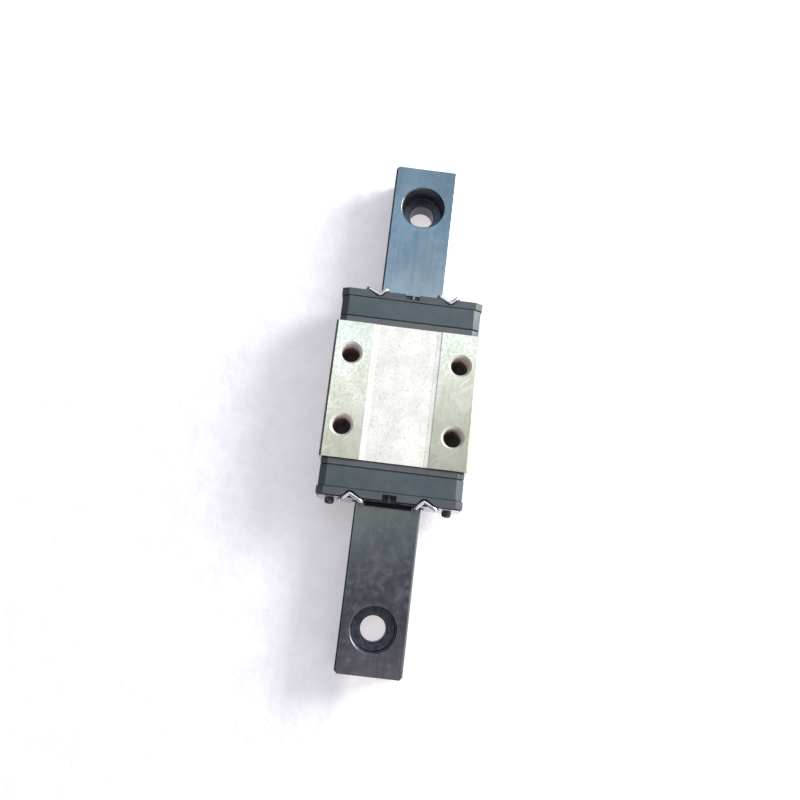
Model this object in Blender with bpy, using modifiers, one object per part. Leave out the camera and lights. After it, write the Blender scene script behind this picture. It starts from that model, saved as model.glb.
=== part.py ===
"""Miniature linear guide: a 9 mm wide rail and the recirculating ball carriage that slides on it.

Constants and function arguments are in millimetres; MM turns them into metres where a mesh is made.
+X runs along the rail, +Y to its left side, +Z up; the origin is the middle of the rail's underside.
The carriage's pieces are modelled about the carriage's own centre and hang from one empty.
"""

import math

import bmesh
import bpy
from mathutils import Matrix, Vector

MM = 0.001
GAP = 0.04  # free space left between pieces that touch

# Rail
RAIL_LENGTH = 72.0
RAIL_WIDTH = 9.0
RAIL_HEIGHT = 6.5
RAIL_TOP_CHAMFER_Y = 0.23
RAIL_TOP_CHAMFER_Z = 0.15
RAIL_BASE_CHAMFER = 0.3
RAIL_CORNER_CHAMFER = 0.4
HOLE_PITCH = 20.0
HOLE_COUNT = 4
HOLE_DIAMETER = 3.5
COUNTERBORE_DIAMETER = 6.0
COUNTERBORE_DEPTH = 3.5
COUNTERBORE_CHAMFER = 0.15

# Balls and their track
BALL_DIAMETER = 1.588
BALL_HEIGHT = 4.1
LOADED_Y = 4.72
RETURN_Y = 7.1
GROOVE_RADIUS = 0.83
CHANNEL_RADIUS = 0.9
ROW_BALLS = 11
TURN_BALLS = 2
NECK_RADIUS = 0.12  # thin link that holds one group of balls together as a single solid

# Steel block
CARRIAGE_X = 1.06
BLOCK_LENGTH = 18.9
BLOCK_WIDTH = 20.0
BLOCK_TOP = 10.0
BLOCK_BOTTOM = 2.0
BLOCK_CHAMFER = 0.3
BLOCK_TOP_CHAMFER_Z = 0.2
INNER_HALF_WIDTH = 4.95
CEILING = 7.3
RECESS_HALF_WIDTH = 4.65
RECESS_DEPTH = 0.15
RECESS_STEP = 0.09
RECESS_STEP_SLOPE = 0.05
RECESS_FLOOR_HALF_WIDTH = 4.0
THREAD_SPACING_X = 10.0
THREAD_SPACING_Y = 15.0
THREAD_DIAMETER = 2.6
THREAD_MOUTH_DIAMETER = 3.2
THREAD_DEPTH = 3.0

# End stack, each layer from its inner to its outer face, measured from the carriage's centre
BLOCK_END = BLOCK_LENGTH / 2
RETURN_PLATE_OUTER = 10.35
CAP_OUTER = 13.3
SEAL_OUTER = 14.35
SCRAPER_OUTER = 14.5
CAP_HALF_WIDTH = 9.65
SEAL_HALF_WIDTH = 9.8
SCRAPER_HALF_WIDTH = 9.55
CAP_TOP = 9.6
SEAL_TOP = 9.7
SCRAPER_TOP = 8.9
CAP_BOTTOM = 2.3
CAP_CHAMFER_Y = 0.95
CAP_CHAMFER_Z = 0.6
CAP_CORNER_RADIUS = 1.4
CAP_OPENING_HALF_WIDTH = 5.3
CAP_CEILING = 7.4
SCRAPER_OPENING_HALF_WIDTH = 4.9
LIP_CLEARANCE = 0.1
WIPER_HALF_WIDTH = 3.2
WIPER_BOTTOM = 6.65
WIPER_TOP = 7.3
WIPER_OUTER = 15.0
WIPER_CHAMFER = 0.15

# Retainer wire
WIRE_RADIUS = 0.27
WIRE_RUN_Y = 4.9
WIRE_RUN_Z = 5.35
WIRE_RELIEF_RADIUS = 0.33
WIRE_EXIT_Y = 3.95
WIRE_EXIT_Z = 6.97
WIRE_TUCK_Y = 6.6
WIRE_TUCK_Z = 6.95
WIRE_TUCK_HOLE_RADIUS = 0.4
WIRE_FRONT_X = SCRAPER_OUTER + GAP + WIRE_RADIUS
HOOK_DEPTH = 0.8
HOOK_Z = 9.4
HOOK_FOOT_Z = 9.25
HOOK_TIP_Y = (4.65, 5.27)  # the left wire's hook at the far end, then at the near end
HOOK_FEET_Y = (3.65, 6.35)

# Cap screws
SCREW_Y = 8.0
SCREW_Z = 6.1
SCREW_SHANK_DIAMETER = 1.0
SCREW_SHANK_LENGTH = 7.6
SCREW_HEAD_DIAMETER = 1.32
SCREW_HEAD_HEIGHT = 0.8
SCREW_SOCKET_WIDTH = 0.65

# Grease plug
PLUG_DIAMETER = 0.7
PLUG_DIMPLE_RADIUS = 0.13
PLUG_CHAMFER = 0.12
PLUG_Z = 8.75
PLUG_INNER = 12.6
PLUG_OUTER = SCRAPER_OUTER
GREASE_SLOT_WIDTH = 1.9
GREASE_SLOT_FLOOR = 8.0
GREASE_SLOT_INNER = 13.6

ALONG_X = Matrix(((0, 0, 1), (1, 0, 0), (0, 1, 0))).to_4x4()  # local Z becomes X, local X becomes Y
UPRIGHT = Matrix.Identity(4)


def clear_scene():
    for item in list(bpy.data.objects):
        bpy.data.objects.remove(item, do_unlink=True)


def new_collection(name):
    collection = bpy.data.collections.new(name)
    bpy.context.scene.collection.children.link(collection)
    return collection


def new_material(name, colour, roughness, metallic):
    material = bpy.data.materials.new(name)
    material.use_nodes = True
    shader = material.node_tree.nodes["Principled BSDF"]
    shader.inputs["Base Color"].default_value = (*colour, 1)
    shader.inputs["Roughness"].default_value = roughness
    shader.inputs["Metallic"].default_value = metallic
    return material


# Outlines and paths


def arc(centre, radius, start, end, steps):
    """Points on a circle, from one angle to another in degrees."""
    angles = [math.radians(start + (end - start) * i / steps) for i in range(steps + 1)]
    return [(centre[0] + radius * math.cos(a), centre[1] + radius * math.sin(a)) for a in angles]


def both_sides(half):
    """A closed outline from its +Y half, which runs from the middle of the top round to the middle of the opening."""
    return half + [(-y, z) for y, z in reversed(half)]


def wall_angle(centre_y, wall_y, radius):
    """Angle above the horizontal at which a circle about centre_y meets a vertical wall."""
    return math.degrees(math.acos((wall_y - centre_y) / radius))


def rail_outline():
    half_width = RAIL_WIDTH / 2
    meet = wall_angle(LOADED_Y, half_width, GROOVE_RADIUS)
    groove = arc((LOADED_Y, BALL_HEIGHT), GROOVE_RADIUS, meet, 360 - meet, 10)
    top = [
        (half_width - RAIL_TOP_CHAMFER_Y, RAIL_HEIGHT),
        (half_width, RAIL_HEIGHT - RAIL_TOP_CHAMFER_Z),
    ]
    base = [(half_width, RAIL_BASE_CHAMFER), (half_width - RAIL_BASE_CHAMFER, 0)]
    return both_sides(top + groove + base)


def block_outline():
    half_width = BLOCK_WIDTH / 2
    meet = wall_angle(LOADED_Y, INNER_HALF_WIDTH, GROOVE_RADIUS)
    groove = arc((LOADED_Y, BALL_HEIGHT), GROOVE_RADIUS, -meet, meet, 8)
    wire_meet = wall_angle(WIRE_RUN_Y, INNER_HALF_WIDTH, WIRE_RELIEF_RADIUS)
    relief = arc((WIRE_RUN_Y, WIRE_RUN_Z), WIRE_RELIEF_RADIUS, -wire_meet, wire_meet, 6)
    top = [
        (RECESS_FLOOR_HALF_WIDTH, BLOCK_TOP - RECESS_DEPTH),
        (RECESS_HALF_WIDTH - RECESS_STEP_SLOPE, BLOCK_TOP - RECESS_STEP),
        (RECESS_HALF_WIDTH, BLOCK_TOP),
        (half_width - BLOCK_CHAMFER, BLOCK_TOP),
        (half_width, BLOCK_TOP - BLOCK_TOP_CHAMFER_Z),
    ]
    foot = [
        (half_width, BLOCK_BOTTOM + BLOCK_CHAMFER),
        (half_width - BLOCK_CHAMFER, BLOCK_BOTTOM),
        (INNER_HALF_WIDTH + BLOCK_CHAMFER, BLOCK_BOTTOM),
        (INNER_HALF_WIDTH, BLOCK_BOTTOM + BLOCK_CHAMFER),
    ]
    ceiling = [(INNER_HALF_WIDTH, CEILING - BLOCK_CHAMFER), (INNER_HALF_WIDTH - BLOCK_CHAMFER, CEILING)]
    return both_sides(top + foot + groove + relief + ceiling)


def cap_outer_half(half_width, top):
    """The outside of an end piece: top edge, side chamfer, side and round lower corner."""
    corner = (half_width - CAP_CORNER_RADIUS, CAP_BOTTOM + CAP_CORNER_RADIUS)
    return [
        (half_width - CAP_CHAMFER_Y, top),
        (half_width, top - CAP_CHAMFER_Z),
        *arc(corner, CAP_CORNER_RADIUS, 0, -90, 5),
    ]


def cap_outline():
    opening = [
        (CAP_OPENING_HALF_WIDTH, CAP_BOTTOM),
        (CAP_OPENING_HALF_WIDTH, CAP_CEILING - 0.4),
        (CAP_OPENING_HALF_WIDTH - 0.4, CAP_CEILING),
    ]
    return both_sides(cap_outer_half(CAP_HALF_WIDTH, CAP_TOP) + opening)


def seal_outline():
    """The seal's opening follows the rail, with lips that reach into its grooves."""
    lip_y = RAIL_WIDTH / 2 + LIP_CLEARANCE
    lip_z = RAIL_HEIGHT + LIP_CLEARANCE
    tongue_radius = GROOVE_RADIUS - LIP_CLEARANCE
    meet = wall_angle(LOADED_Y, lip_y, tongue_radius)
    tongue = arc((LOADED_Y, BALL_HEIGHT), tongue_radius, 360 - meet, meet, 6)
    opening = [
        (lip_y, CAP_BOTTOM),
        *tongue,
        (lip_y, lip_z - RAIL_TOP_CHAMFER_Z),
        (lip_y - RAIL_TOP_CHAMFER_Y, lip_z),
    ]
    return both_sides(cap_outer_half(SEAL_HALF_WIDTH, SEAL_TOP) + opening)


def wiper_outline():
    """The bar above the rail's top that sticks out of the seal, through the opening in the scraper plate."""
    side = [
        (WIPER_HALF_WIDTH - WIPER_CHAMFER, WIPER_TOP),
        (WIPER_HALF_WIDTH, WIPER_TOP - WIPER_CHAMFER),
        (WIPER_HALF_WIDTH, WIPER_BOTTOM),
    ]
    return both_sides(side)


def scraper_outline():
    grease_slot = [
        (GREASE_SLOT_WIDTH / 2, GREASE_SLOT_FLOOR),
        (GREASE_SLOT_WIDTH / 2, SCRAPER_TOP),
    ]
    corner = (SCRAPER_HALF_WIDTH - CAP_CORNER_RADIUS, CAP_BOTTOM + CAP_CORNER_RADIUS)
    side = [
        (SCRAPER_HALF_WIDTH - 0.3, SCRAPER_TOP),
        (SCRAPER_HALF_WIDTH, SCRAPER_TOP - 0.3),
        *arc(corner, CAP_CORNER_RADIUS, 0, -90, 5),
    ]
    opening = [
        (SCRAPER_OPENING_HALF_WIDTH, CAP_BOTTOM),
        (SCRAPER_OPENING_HALF_WIDTH, CAP_CEILING),
    ]
    return both_sides(grease_slot + side + opening)


def smooth_path(points, steps):
    """Catmull-Rom curve through the points, with the same number of steps in each span."""
    points = [Vector(p) for p in points]
    points = [2 * points[0] - points[1], *points, 2 * points[-1] - points[-2]]
    path = []
    for before, start, end, after in zip(points, points[1:], points[2:], points[3:]):
        for i in range(steps):
            t = i / steps
            bend = 2 * before - 5 * start + 4 * end - after
            twist = 3 * start - before - 3 * end + after
            path.append((2 * start + (end - before) * t + bend * t**2 + twist * t**3) / 2)
    return path + [points[-2]]


# Solids


def object_from_bmesh(name, shape, collection):
    mesh = bpy.data.meshes.new(name)
    shape.to_mesh(mesh)
    shape.free()
    item = bpy.data.objects.new(name, mesh)
    collection.objects.link(item)
    return item


def evaluated_mesh(item):
    bpy.context.view_layer.update()
    graph = bpy.context.evaluated_depsgraph_get()
    return bpy.data.meshes.new_from_object(item.evaluated_get(graph))


def mesh_from_curve(guide, collection):
    """Replaces a curve object by a closed mesh object of the same name and place."""
    name = guide.name
    collection.objects.link(guide)
    mesh = evaluated_mesh(guide)
    place = guide.matrix_world.copy()
    bpy.data.objects.remove(guide, do_unlink=True)
    shape = bmesh.new()
    shape.from_mesh(mesh)
    bmesh.ops.remove_doubles(shape, verts=shape.verts, dist=1e-7)
    bmesh.ops.recalc_face_normals(shape, faces=shape.faces)
    item = object_from_bmesh(name, shape, collection)
    item.matrix_world = place
    return item


def prism(name, outline, start, end, turn, collection):
    """An outline pushed from start to end along X (ALONG_X, outline in y and z) or Z (UPRIGHT, in x and y)."""
    curve = bpy.data.curves.new(name, "CURVE")
    curve.dimensions = "2D"
    curve.fill_mode = "BOTH"
    curve.extrude = (end - start) / 2 * MM
    spline = curve.splines.new("POLY")
    spline.points.add(len(outline) - 1)
    for point, (across, up) in zip(spline.points, outline):
        point.co = (across * MM, up * MM, 0, 1)
    spline.use_cyclic_u = True
    guide = bpy.data.objects.new(name, curve)
    guide.matrix_world = turn @ Matrix.Translation((0, 0, (start + end) / 2 * MM))
    return mesh_from_curve(guide, collection)


def cylinder(name, radius, start, end, place, turn, collection, end_radius=None, sides=24):
    """A cylinder or cone from start to end along its axis, which passes through place."""
    shape = bmesh.new()
    bmesh.ops.create_cone(
        shape,
        cap_ends=True,
        segments=sides,
        radius1=radius * MM,
        radius2=(radius if end_radius is None else end_radius) * MM,
        depth=(end - start) * MM,
    )
    item = object_from_bmesh(name, shape, collection)
    middle = Matrix.Translation((0, 0, (start + end) / 2 * MM))
    item.matrix_world = Matrix.Translation(Vector(place) * MM) @ turn @ middle
    return item


def turned(name, profile, steps, collection):
    """A solid of revolution about local Z; the profile holds (radius, height), top to bottom."""
    shape = bmesh.new()
    ring = [shape.verts.new((radius * MM, 0, height * MM)) for radius, height in profile]
    for upper, lower in zip(ring, ring[1:]):
        shape.edges.new((upper, lower))
    item = object_from_bmesh(name, shape, collection)
    screw = item.modifiers.new("turn", "SCREW")
    screw.steps = steps
    screw.render_steps = steps
    screw.use_merge_vertices = True
    screw.merge_threshold = 1e-6
    return item


def cut(item, cutter, operation="DIFFERENCE"):
    cutter.hide_render = True
    cutter.display_type = "WIRE"
    boolean = item.modifiers.new(cutter.name, "BOOLEAN")
    boolean.operation = operation
    boolean.solver = "EXACT"
    boolean.object = cutter


def bake(item):
    """Puts the evaluated shape into the object's own mesh, so that copies can share it."""
    mesh = evaluated_mesh(item)
    item.modifiers.clear()
    item.data = mesh


def finish(item, material):
    """Gives a piece its material and smooth shading, with creases kept sharp."""
    item.data.materials.clear()
    item.data.materials.append(material)
    item.data.shade_smooth()
    item.data.set_sharp_from_angle(angle=math.radians(35))


def copy_turned_round(item, name, collection):
    """A second object of the same mesh, turned half a turn about the carriage's vertical axis."""
    copy = bpy.data.objects.new(name, item.data)
    copy.matrix_world = Matrix.Rotation(math.pi, 4, "Z") @ item.matrix_world
    collection.objects.link(copy)
    return copy


# Rail


def make_rail(part, cutters, material):
    half_length = RAIL_LENGTH / 2
    rail = prism("rail", rail_outline(), -half_length, half_length, ALONG_X, part)
    for index in range(HOLE_COUNT):
        along = (index - (HOLE_COUNT - 1) / 2) * HOLE_PITCH
        for step, radius, mouth, bottom, top in (
            ("bore", HOLE_DIAMETER / 2, HOLE_DIAMETER / 2, -1, RAIL_HEIGHT + 1),
            (
                "counterbore",
                COUNTERBORE_DIAMETER / 2,
                COUNTERBORE_DIAMETER / 2,
                RAIL_HEIGHT - COUNTERBORE_DEPTH,
                RAIL_HEIGHT + 1,
            ),
            (
                "rim",
                COUNTERBORE_DIAMETER / 2,
                COUNTERBORE_DIAMETER / 2 + 2 * COUNTERBORE_CHAMFER,
                RAIL_HEIGHT - COUNTERBORE_CHAMFER,
                RAIL_HEIGHT + COUNTERBORE_CHAMFER,
            ),
        ):
            name = f"rail_{step}_{index + 1}"
            place = (along, 0, 0)
            cut(rail, cylinder(name, radius, bottom, top, place, UPRIGHT, cutters, mouth, 32))
    for end in (-1, 1):
        for side in (-1, 1):
            cut(rail, rail_corner_cutter(end, side, cutters))
    finish(rail, material)


def rail_corner_cutter(end, side, cutters):
    """A triangular wedge that takes one upright corner off the rail."""
    tip_x = end * RAIL_LENGTH / 2
    tip_y = side * RAIL_WIDTH / 2
    run = RAIL_CORNER_CHAMFER
    wedge = [
        (tip_x - end * run * 2, tip_y + side * run),
        (tip_x + end * run, tip_y + side * run),
        (tip_x + end * run, tip_y - side * run * 2),
    ]
    return prism(f"rail_corner_{end}_{side}", wedge, -1, RAIL_HEIGHT + 1, UPRIGHT, cutters)


# Carriage block


def make_block(part, cutters, material):
    block = prism("carriage_block", block_outline(), -BLOCK_END, BLOCK_END, ALONG_X, part)
    for side in (-1, 1):
        name = f"return_bore_{side}"
        place = (0, side * RETURN_Y, BALL_HEIGHT)
        reach = BLOCK_END + 1
        cut(block, cylinder(name, CHANNEL_RADIUS, -reach, reach, place, ALONG_X, cutters, sides=20))
        for end in (-1, 1):
            cut_mounting_thread(block, end, side, cutters)
            name = f"cap_screw_thread_{end}_{side}"
            place = (end * BLOCK_END, side * SCREW_Y, SCREW_Z)
            radius = SCREW_SHANK_DIAMETER / 2 + GAP
            cut(block, cylinder(name, radius, -3, 3, place, ALONG_X, cutters, sides=12))
    finish(block, material)
    return block


def cut_mounting_thread(block, end, side, cutters):
    place = (end * THREAD_SPACING_X / 2, side * THREAD_SPACING_Y / 2, 0)
    bottom = BLOCK_TOP - THREAD_DEPTH
    mouth = THREAD_MOUTH_DIAMETER / 2
    bore = THREAD_DIAMETER / 2
    reach = mouth - bore + 0.1
    tag = f"{end}_{side}"
    cut(block, cylinder("thread_" + tag, bore, bottom, BLOCK_TOP + 1, place, UPRIGHT, cutters))
    low = BLOCK_TOP - reach
    high = BLOCK_TOP + reach
    cone = cylinder("mouth_" + tag, mouth - reach, low, high, place, UPRIGHT, cutters, mouth + reach)
    cut(block, cone)


# End stack: return plate, cap, seal and scraper plate at the far end


def cut_ball_turns(piece, cutters, tag):
    """Half of each ring-shaped channel that takes the balls from the loaded row to the return bore."""
    for side in (-1, 1):
        middle_y = side * (LOADED_Y + RETURN_Y) / 2
        bpy.ops.mesh.primitive_torus_add(
            location=(BLOCK_END * MM, middle_y * MM, BALL_HEIGHT * MM),
            major_radius=(RETURN_Y - LOADED_Y) / 2 * MM,
            minor_radius=CHANNEL_RADIUS * MM,
            major_segments=20,
            minor_segments=12,
        )
        ring = bpy.context.active_object
        ring.name = f"ball_turn_{tag}_{side}"
        move_to(ring, cutters)
        cut(piece, ring)


def move_to(item, collection):
    for owner in list(item.users_collection):
        owner.objects.unlink(item)
    collection.objects.link(item)


def cut_hole_pair(piece, tag, radius, start, end, across, height, cutters):
    for side in (-1, 1):
        place = (0, side * across, height)
        hole = cylinder(f"{tag}_{side}", radius, start, end, place, ALONG_X, cutters, sides=12)
        cut(piece, hole)


def cut_screw_holes(piece, tag, cutters):
    radius = SCREW_SHANK_DIAMETER / 2 + GAP
    reach = SCRAPER_OUTER + 1
    cut_hole_pair(piece, "screw_hole_" + tag, radius, BLOCK_END - 1, reach, SCREW_Y, SCREW_Z, cutters)


def cut_wire_tucks(piece, tag, cutters):
    radius = WIRE_TUCK_HOLE_RADIUS
    reach = SCRAPER_OUTER + 1
    cut_hole_pair(piece, "wire_tuck_" + tag, radius, CAP_OUTER - 0.5, reach, WIRE_TUCK_Y, WIRE_TUCK_Z, cutters)


def cut_wire_exits(seal, cutters):
    """Round slots above the rail's shoulders, open to the lip, where the wires come out."""
    radius = WIRE_RADIUS + 0.15
    reach = SCRAPER_OUTER + 1
    cut_hole_pair(seal, "wire_exit", radius, CAP_OUTER - 0.5, reach, WIRE_EXIT_Y, WIRE_EXIT_Z, cutters)


def make_return_plate(part, cutters, material):
    start = BLOCK_END + GAP
    plate = prism("ball_return_plate_far", cap_outline(), start, RETURN_PLATE_OUTER, ALONG_X, part)
    cut_ball_turns(plate, cutters, "plate")
    cut_screw_holes(plate, "plate", cutters)
    bake(plate)
    finish(plate, material)
    return plate


def make_end_cap(part, cutters, material):
    cap = prism("end_cap_far", cap_outline(), RETURN_PLATE_OUTER + GAP, CAP_OUTER, ALONG_X, part)
    cut_ball_turns(cap, cutters, "cap")
    cut_screw_holes(cap, "cap", cutters)
    cut(cap, grease_bore("grease_bore_cap", cutters))
    bake(cap)
    finish(cap, material)
    return cap


def grease_bore(name, cutters):
    radius = PLUG_DIAMETER / 2 + GAP
    start = PLUG_INNER - 0.1
    return cylinder(name, radius, start, PLUG_OUTER + 1, (0, 0, PLUG_Z), ALONG_X, cutters, sides=16)


def make_end_seal(part, cutters, material):
    seal = prism("end_seal_far", seal_outline(), CAP_OUTER + GAP, SEAL_OUTER, ALONG_X, part)
    wiper = prism("wiper", wiper_outline(), SEAL_OUTER - 0.2, WIPER_OUTER, ALONG_X, cutters)
    cut(seal, wiper, "UNION")
    cut_screw_holes(seal, "seal", cutters)
    cut_wire_tucks(seal, "seal", cutters)
    cut_wire_exits(seal, cutters)
    half_slot = GREASE_SLOT_WIDTH / 2
    outer = SEAL_OUTER + 1
    slot = [
        (GREASE_SLOT_INNER, -half_slot),
        (outer, -half_slot),
        (outer, half_slot),
        (GREASE_SLOT_INNER, half_slot),
    ]
    cut(seal, prism("grease_slot", slot, GREASE_SLOT_FLOOR, SEAL_TOP + 1, UPRIGHT, cutters))
    cut(seal, grease_bore("grease_bore_seal", cutters))
    for side in (-1, 1):
        cut(seal, hook_notch_cutter(side, cutters))
    bake(seal)
    finish(seal, material)
    return seal


def hook_notch_cutter(side, cutters):
    """A V-shaped notch in the seal's upper edge, point towards the block, for the hook of the wire."""
    root = SEAL_OUTER - 0.8
    mouth = SEAL_OUTER + 0.3
    tip = HOOK_TIP_Y[0 if side > 0 else 1]
    inner_foot, outer_foot = HOOK_FEET_Y
    half = [(root, tip - 0.3), (mouth, inner_foot - 0.3), (mouth, outer_foot + 0.27), (root, tip + 0.3)]
    notch = [(x, side * y) for x, y in half]
    return prism(f"hook_notch_{side}", notch, HOOK_Z - 0.6, SEAL_TOP + 1, UPRIGHT, cutters)


def make_scraper(part, cutters, material):
    plate = prism("scraper_plate_far", scraper_outline(), SEAL_OUTER + GAP, SCRAPER_OUTER, ALONG_X, part)
    cut_screw_holes(plate, "scraper", cutters)
    cut_wire_tucks(plate, "scraper", cutters)
    bake(plate)
    finish(plate, material)
    return plate


# Small pieces


def make_cap_screw(part, cutters, material):
    """Round-headed screw with a hexagon socket, its head outermost."""
    head = SCREW_HEAD_DIAMETER / 2
    shank = SCREW_SHANK_DIAMETER / 2
    round_over = 0.3
    profile = [
        (0, SCREW_HEAD_HEIGHT),
        *arc((head - round_over, SCREW_HEAD_HEIGHT - round_over), round_over, 90, 0, 2),
        (head, 0),
        (shank, 0),
        (shank, 0.15 - SCREW_SHANK_LENGTH),
        (shank - 0.15, -SCREW_SHANK_LENGTH),
        (0, -SCREW_SHANK_LENGTH),
    ]
    screw = turned("cap_screw_far_left", profile, 14, part)
    place = (SCRAPER_OUTER + GAP, SCREW_Y, SCREW_Z)
    screw.matrix_world = Matrix.Translation(Vector(place) * MM) @ ALONG_X
    radius = SCREW_SOCKET_WIDTH / 2 / math.cos(math.pi / 6)
    socket_floor = SCREW_HEAD_HEIGHT * 0.45
    cut(screw, cylinder("socket", radius, socket_floor, 2, place, ALONG_X, cutters, sides=6))
    bake(screw)
    finish(screw, material)
    return screw


def make_grease_plug(part, material):
    """Short round plug with a small dimple in its outer face."""
    radius = PLUG_DIAMETER / 2
    length = PLUG_OUTER - PLUG_INNER
    profile = [
        (0, length - 0.3),
        (PLUG_DIMPLE_RADIUS, length - 0.3),
        (PLUG_DIMPLE_RADIUS, length),
        (radius - PLUG_CHAMFER, length),
        (radius, length - PLUG_CHAMFER),
        (radius, 0),
        (0, 0),
    ]
    plug = turned("grease_plug_far", profile, 14, part)
    plug.matrix_world = Matrix.Translation(Vector((PLUG_INNER, 0, PLUG_Z)) * MM) @ ALONG_X
    bake(plug)
    finish(plug, material)
    return plug


def wire_half_path(tip_y):
    """Half of the left wire: along the block, over the rail's edge, out, round the hook and back in."""
    inner_foot, outer_foot = HOOK_FEET_Y
    front = WIRE_FRONT_X
    deep = front - HOOK_DEPTH
    bends = [
        (10.2, WIRE_RUN_Y, WIRE_RUN_Z),
        (11.0, WIRE_RUN_Y + 0.03, 5.6),
        (11.7, WIRE_RUN_Y + 0.05, 6.2),
        (12.2, 4.8, 6.75),
        (12.7, 4.35, WIRE_EXIT_Z),
        (13.2, 4.0, WIRE_EXIT_Z),
        (13.7, WIRE_EXIT_Y, WIRE_EXIT_Z),
        (14.4, WIRE_EXIT_Y - 0.05, WIRE_EXIT_Z),
        (front - 0.08, inner_foot + 0.08, WIRE_EXIT_Z + 0.2),
        (front, inner_foot - 0.02, 7.8),
        (front, inner_foot, 8.8),
        (front - 0.08, inner_foot + 0.08, HOOK_FOOT_Z),
        (deep, tip_y - 0.16, HOOK_Z),
        (deep - 0.05, tip_y, HOOK_Z),
        (deep, tip_y + 0.16, HOOK_Z),
        (front - 0.08, outer_foot - 0.1, HOOK_FOOT_Z),
        (front, outer_foot, 8.8),
        (front, outer_foot + 0.08, 7.8),
        (front - 0.08, WIRE_TUCK_Y - 0.04, WIRE_TUCK_Z + 0.2),
        (14.4, WIRE_TUCK_Y, WIRE_TUCK_Z),
        (13.7, WIRE_TUCK_Y, WIRE_TUCK_Z),
    ]
    return smooth_path(bends, 2)


def make_wire(part, material):
    far_tip, near_tip = HOOK_TIP_Y
    near_half = [Vector((-p.x, p.y, p.z)) for p in reversed(wire_half_path(near_tip))]
    path = near_half + wire_half_path(far_tip)
    curve = bpy.data.curves.new("retainer_wire_left", "CURVE")
    curve.dimensions = "3D"
    curve.bevel_depth = WIRE_RADIUS * MM
    curve.bevel_resolution = 2
    curve.use_fill_caps = True
    spline = curve.splines.new("POLY")
    spline.points.add(len(path) - 1)
    for point, place in zip(spline.points, path):
        point.co = (*(place * MM), 1)
    wire = mesh_from_curve(bpy.data.objects.new("retainer_wire_left", curve), part)
    finish(wire, material)
    return wire


# Balls


def ball_chain(name, count, pitch, collection):
    """Balls in a straight line along local Z, joined by thin necks into one solid."""
    radius = BALL_DIAMETER / 2
    lead = math.degrees(math.asin(NECK_RADIUS / radius))
    first = (count - 1) / 2 * pitch
    profile = [(0, first + radius)]
    for index in range(count):
        profile += arc((0, first - index * pitch), radius, 90 - lead, lead - 90, 5)
    profile.append((0, -first - radius))
    return turned(name, profile, 8, collection)


def make_balls(part, material):
    """One loaded row, one return row and a pair in each turn, on each side of the rail."""
    turn_radius = (RETURN_Y - LOADED_Y) / 2
    path_length = 2 * BLOCK_LENGTH + 2 * math.pi * turn_radius
    pitch = path_length / (2 * ROW_BALLS + 2 * TURN_BALLS)
    half_row = (ROW_BALLS - 1) / 2 * pitch
    first_angle = (pitch - (BLOCK_END - half_row)) / turn_radius
    chord = 2 * turn_radius * math.cos(first_angle)
    reach = BLOCK_END + turn_radius * math.sin(first_angle)
    row = ball_chain("ball_row", ROW_BALLS, pitch, part)
    pair = ball_chain("ball_pair", TURN_BALLS, chord, part)
    for group in (row, pair):
        bake(group)
        finish(group, material)
    pieces = []
    for side, side_name in ((1, "left"), (-1, "right")):
        for across, kind in ((LOADED_Y, "loaded"), (RETURN_Y, "return")):
            place = Matrix.Translation(Vector((0, side * across, BALL_HEIGHT)) * MM)
            pieces.append(placed_copy(row, f"{kind}_balls_{side_name}", place @ ALONG_X, part))
        for end, end_name in ((1, "far"), (-1, "near")):
            middle = Vector((end * reach, side * (LOADED_Y + RETURN_Y) / 2, BALL_HEIGHT))
            place = Matrix.Translation(middle * MM) @ Matrix.Rotation(math.pi / 2, 4, "X")
            pieces.append(placed_copy(pair, f"turning_balls_{end_name}_{side_name}", place, part))
    for group in (row, pair):
        bpy.data.objects.remove(group, do_unlink=True)
    return pieces


def placed_copy(item, name, place, collection):
    copy = bpy.data.objects.new(name, item.data)
    copy.matrix_world = place
    collection.objects.link(copy)
    return copy


# Assembly


def make_carriage(part, cutters):
    steel = new_material("block_steel", (0.62, 0.62, 0.56), 0.35, 1.0)
    plate_plastic = new_material("return_plate_plastic", (0.085, 0.1, 0.12), 0.5, 0.0)
    cap_plastic = new_material("cap_plastic", (0.07, 0.085, 0.1), 0.5, 0.0)
    rubber = new_material("seal_rubber", (0.05, 0.06, 0.07), 0.6, 0.0)
    scraper_steel = new_material("scraper_steel", (0.5, 0.5, 0.52), 0.3, 1.0)
    screw_steel = new_material("black_screw", (0.03, 0.03, 0.035), 0.4, 1.0)
    plug_plastic = new_material("plug_plastic", (0.04, 0.04, 0.045), 0.4, 0.0)
    wire_steel = new_material("wire_steel", (0.8, 0.8, 0.8), 0.2, 1.0)
    ball_steel = new_material("ball_steel", (0.7, 0.7, 0.72), 0.08, 1.0)
    pieces = [make_block(part, cutters, steel)]
    for far in (
        make_return_plate(part, cutters, plate_plastic),
        make_end_cap(part, cutters, cap_plastic),
        make_end_seal(part, cutters, rubber),
        make_scraper(part, cutters, scraper_steel),
        make_grease_plug(part, plug_plastic),
    ):
        near_name = far.name.replace("_far", "_near")
        pieces += [far, copy_turned_round(far, near_name, part)]
    far_left = make_cap_screw(part, cutters, screw_steel)
    far_right = placed_copy(far_left, "cap_screw_far_right", mirrored_place(far_left), part)
    pieces += [far_left, far_right]
    pieces.append(copy_turned_round(far_left, "cap_screw_near_right", part))
    pieces.append(copy_turned_round(far_right, "cap_screw_near_left", part))
    wire_left = make_wire(part, wire_steel)
    pieces += [wire_left, copy_turned_round(wire_left, "retainer_wire_right", part)]
    return pieces + make_balls(part, ball_steel)


def mirrored_place(item):
    """The same place on the rail's other side; the piece itself isn't mirrored."""
    place = item.matrix_world.copy()
    place.translation.y *= -1
    return place


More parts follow.
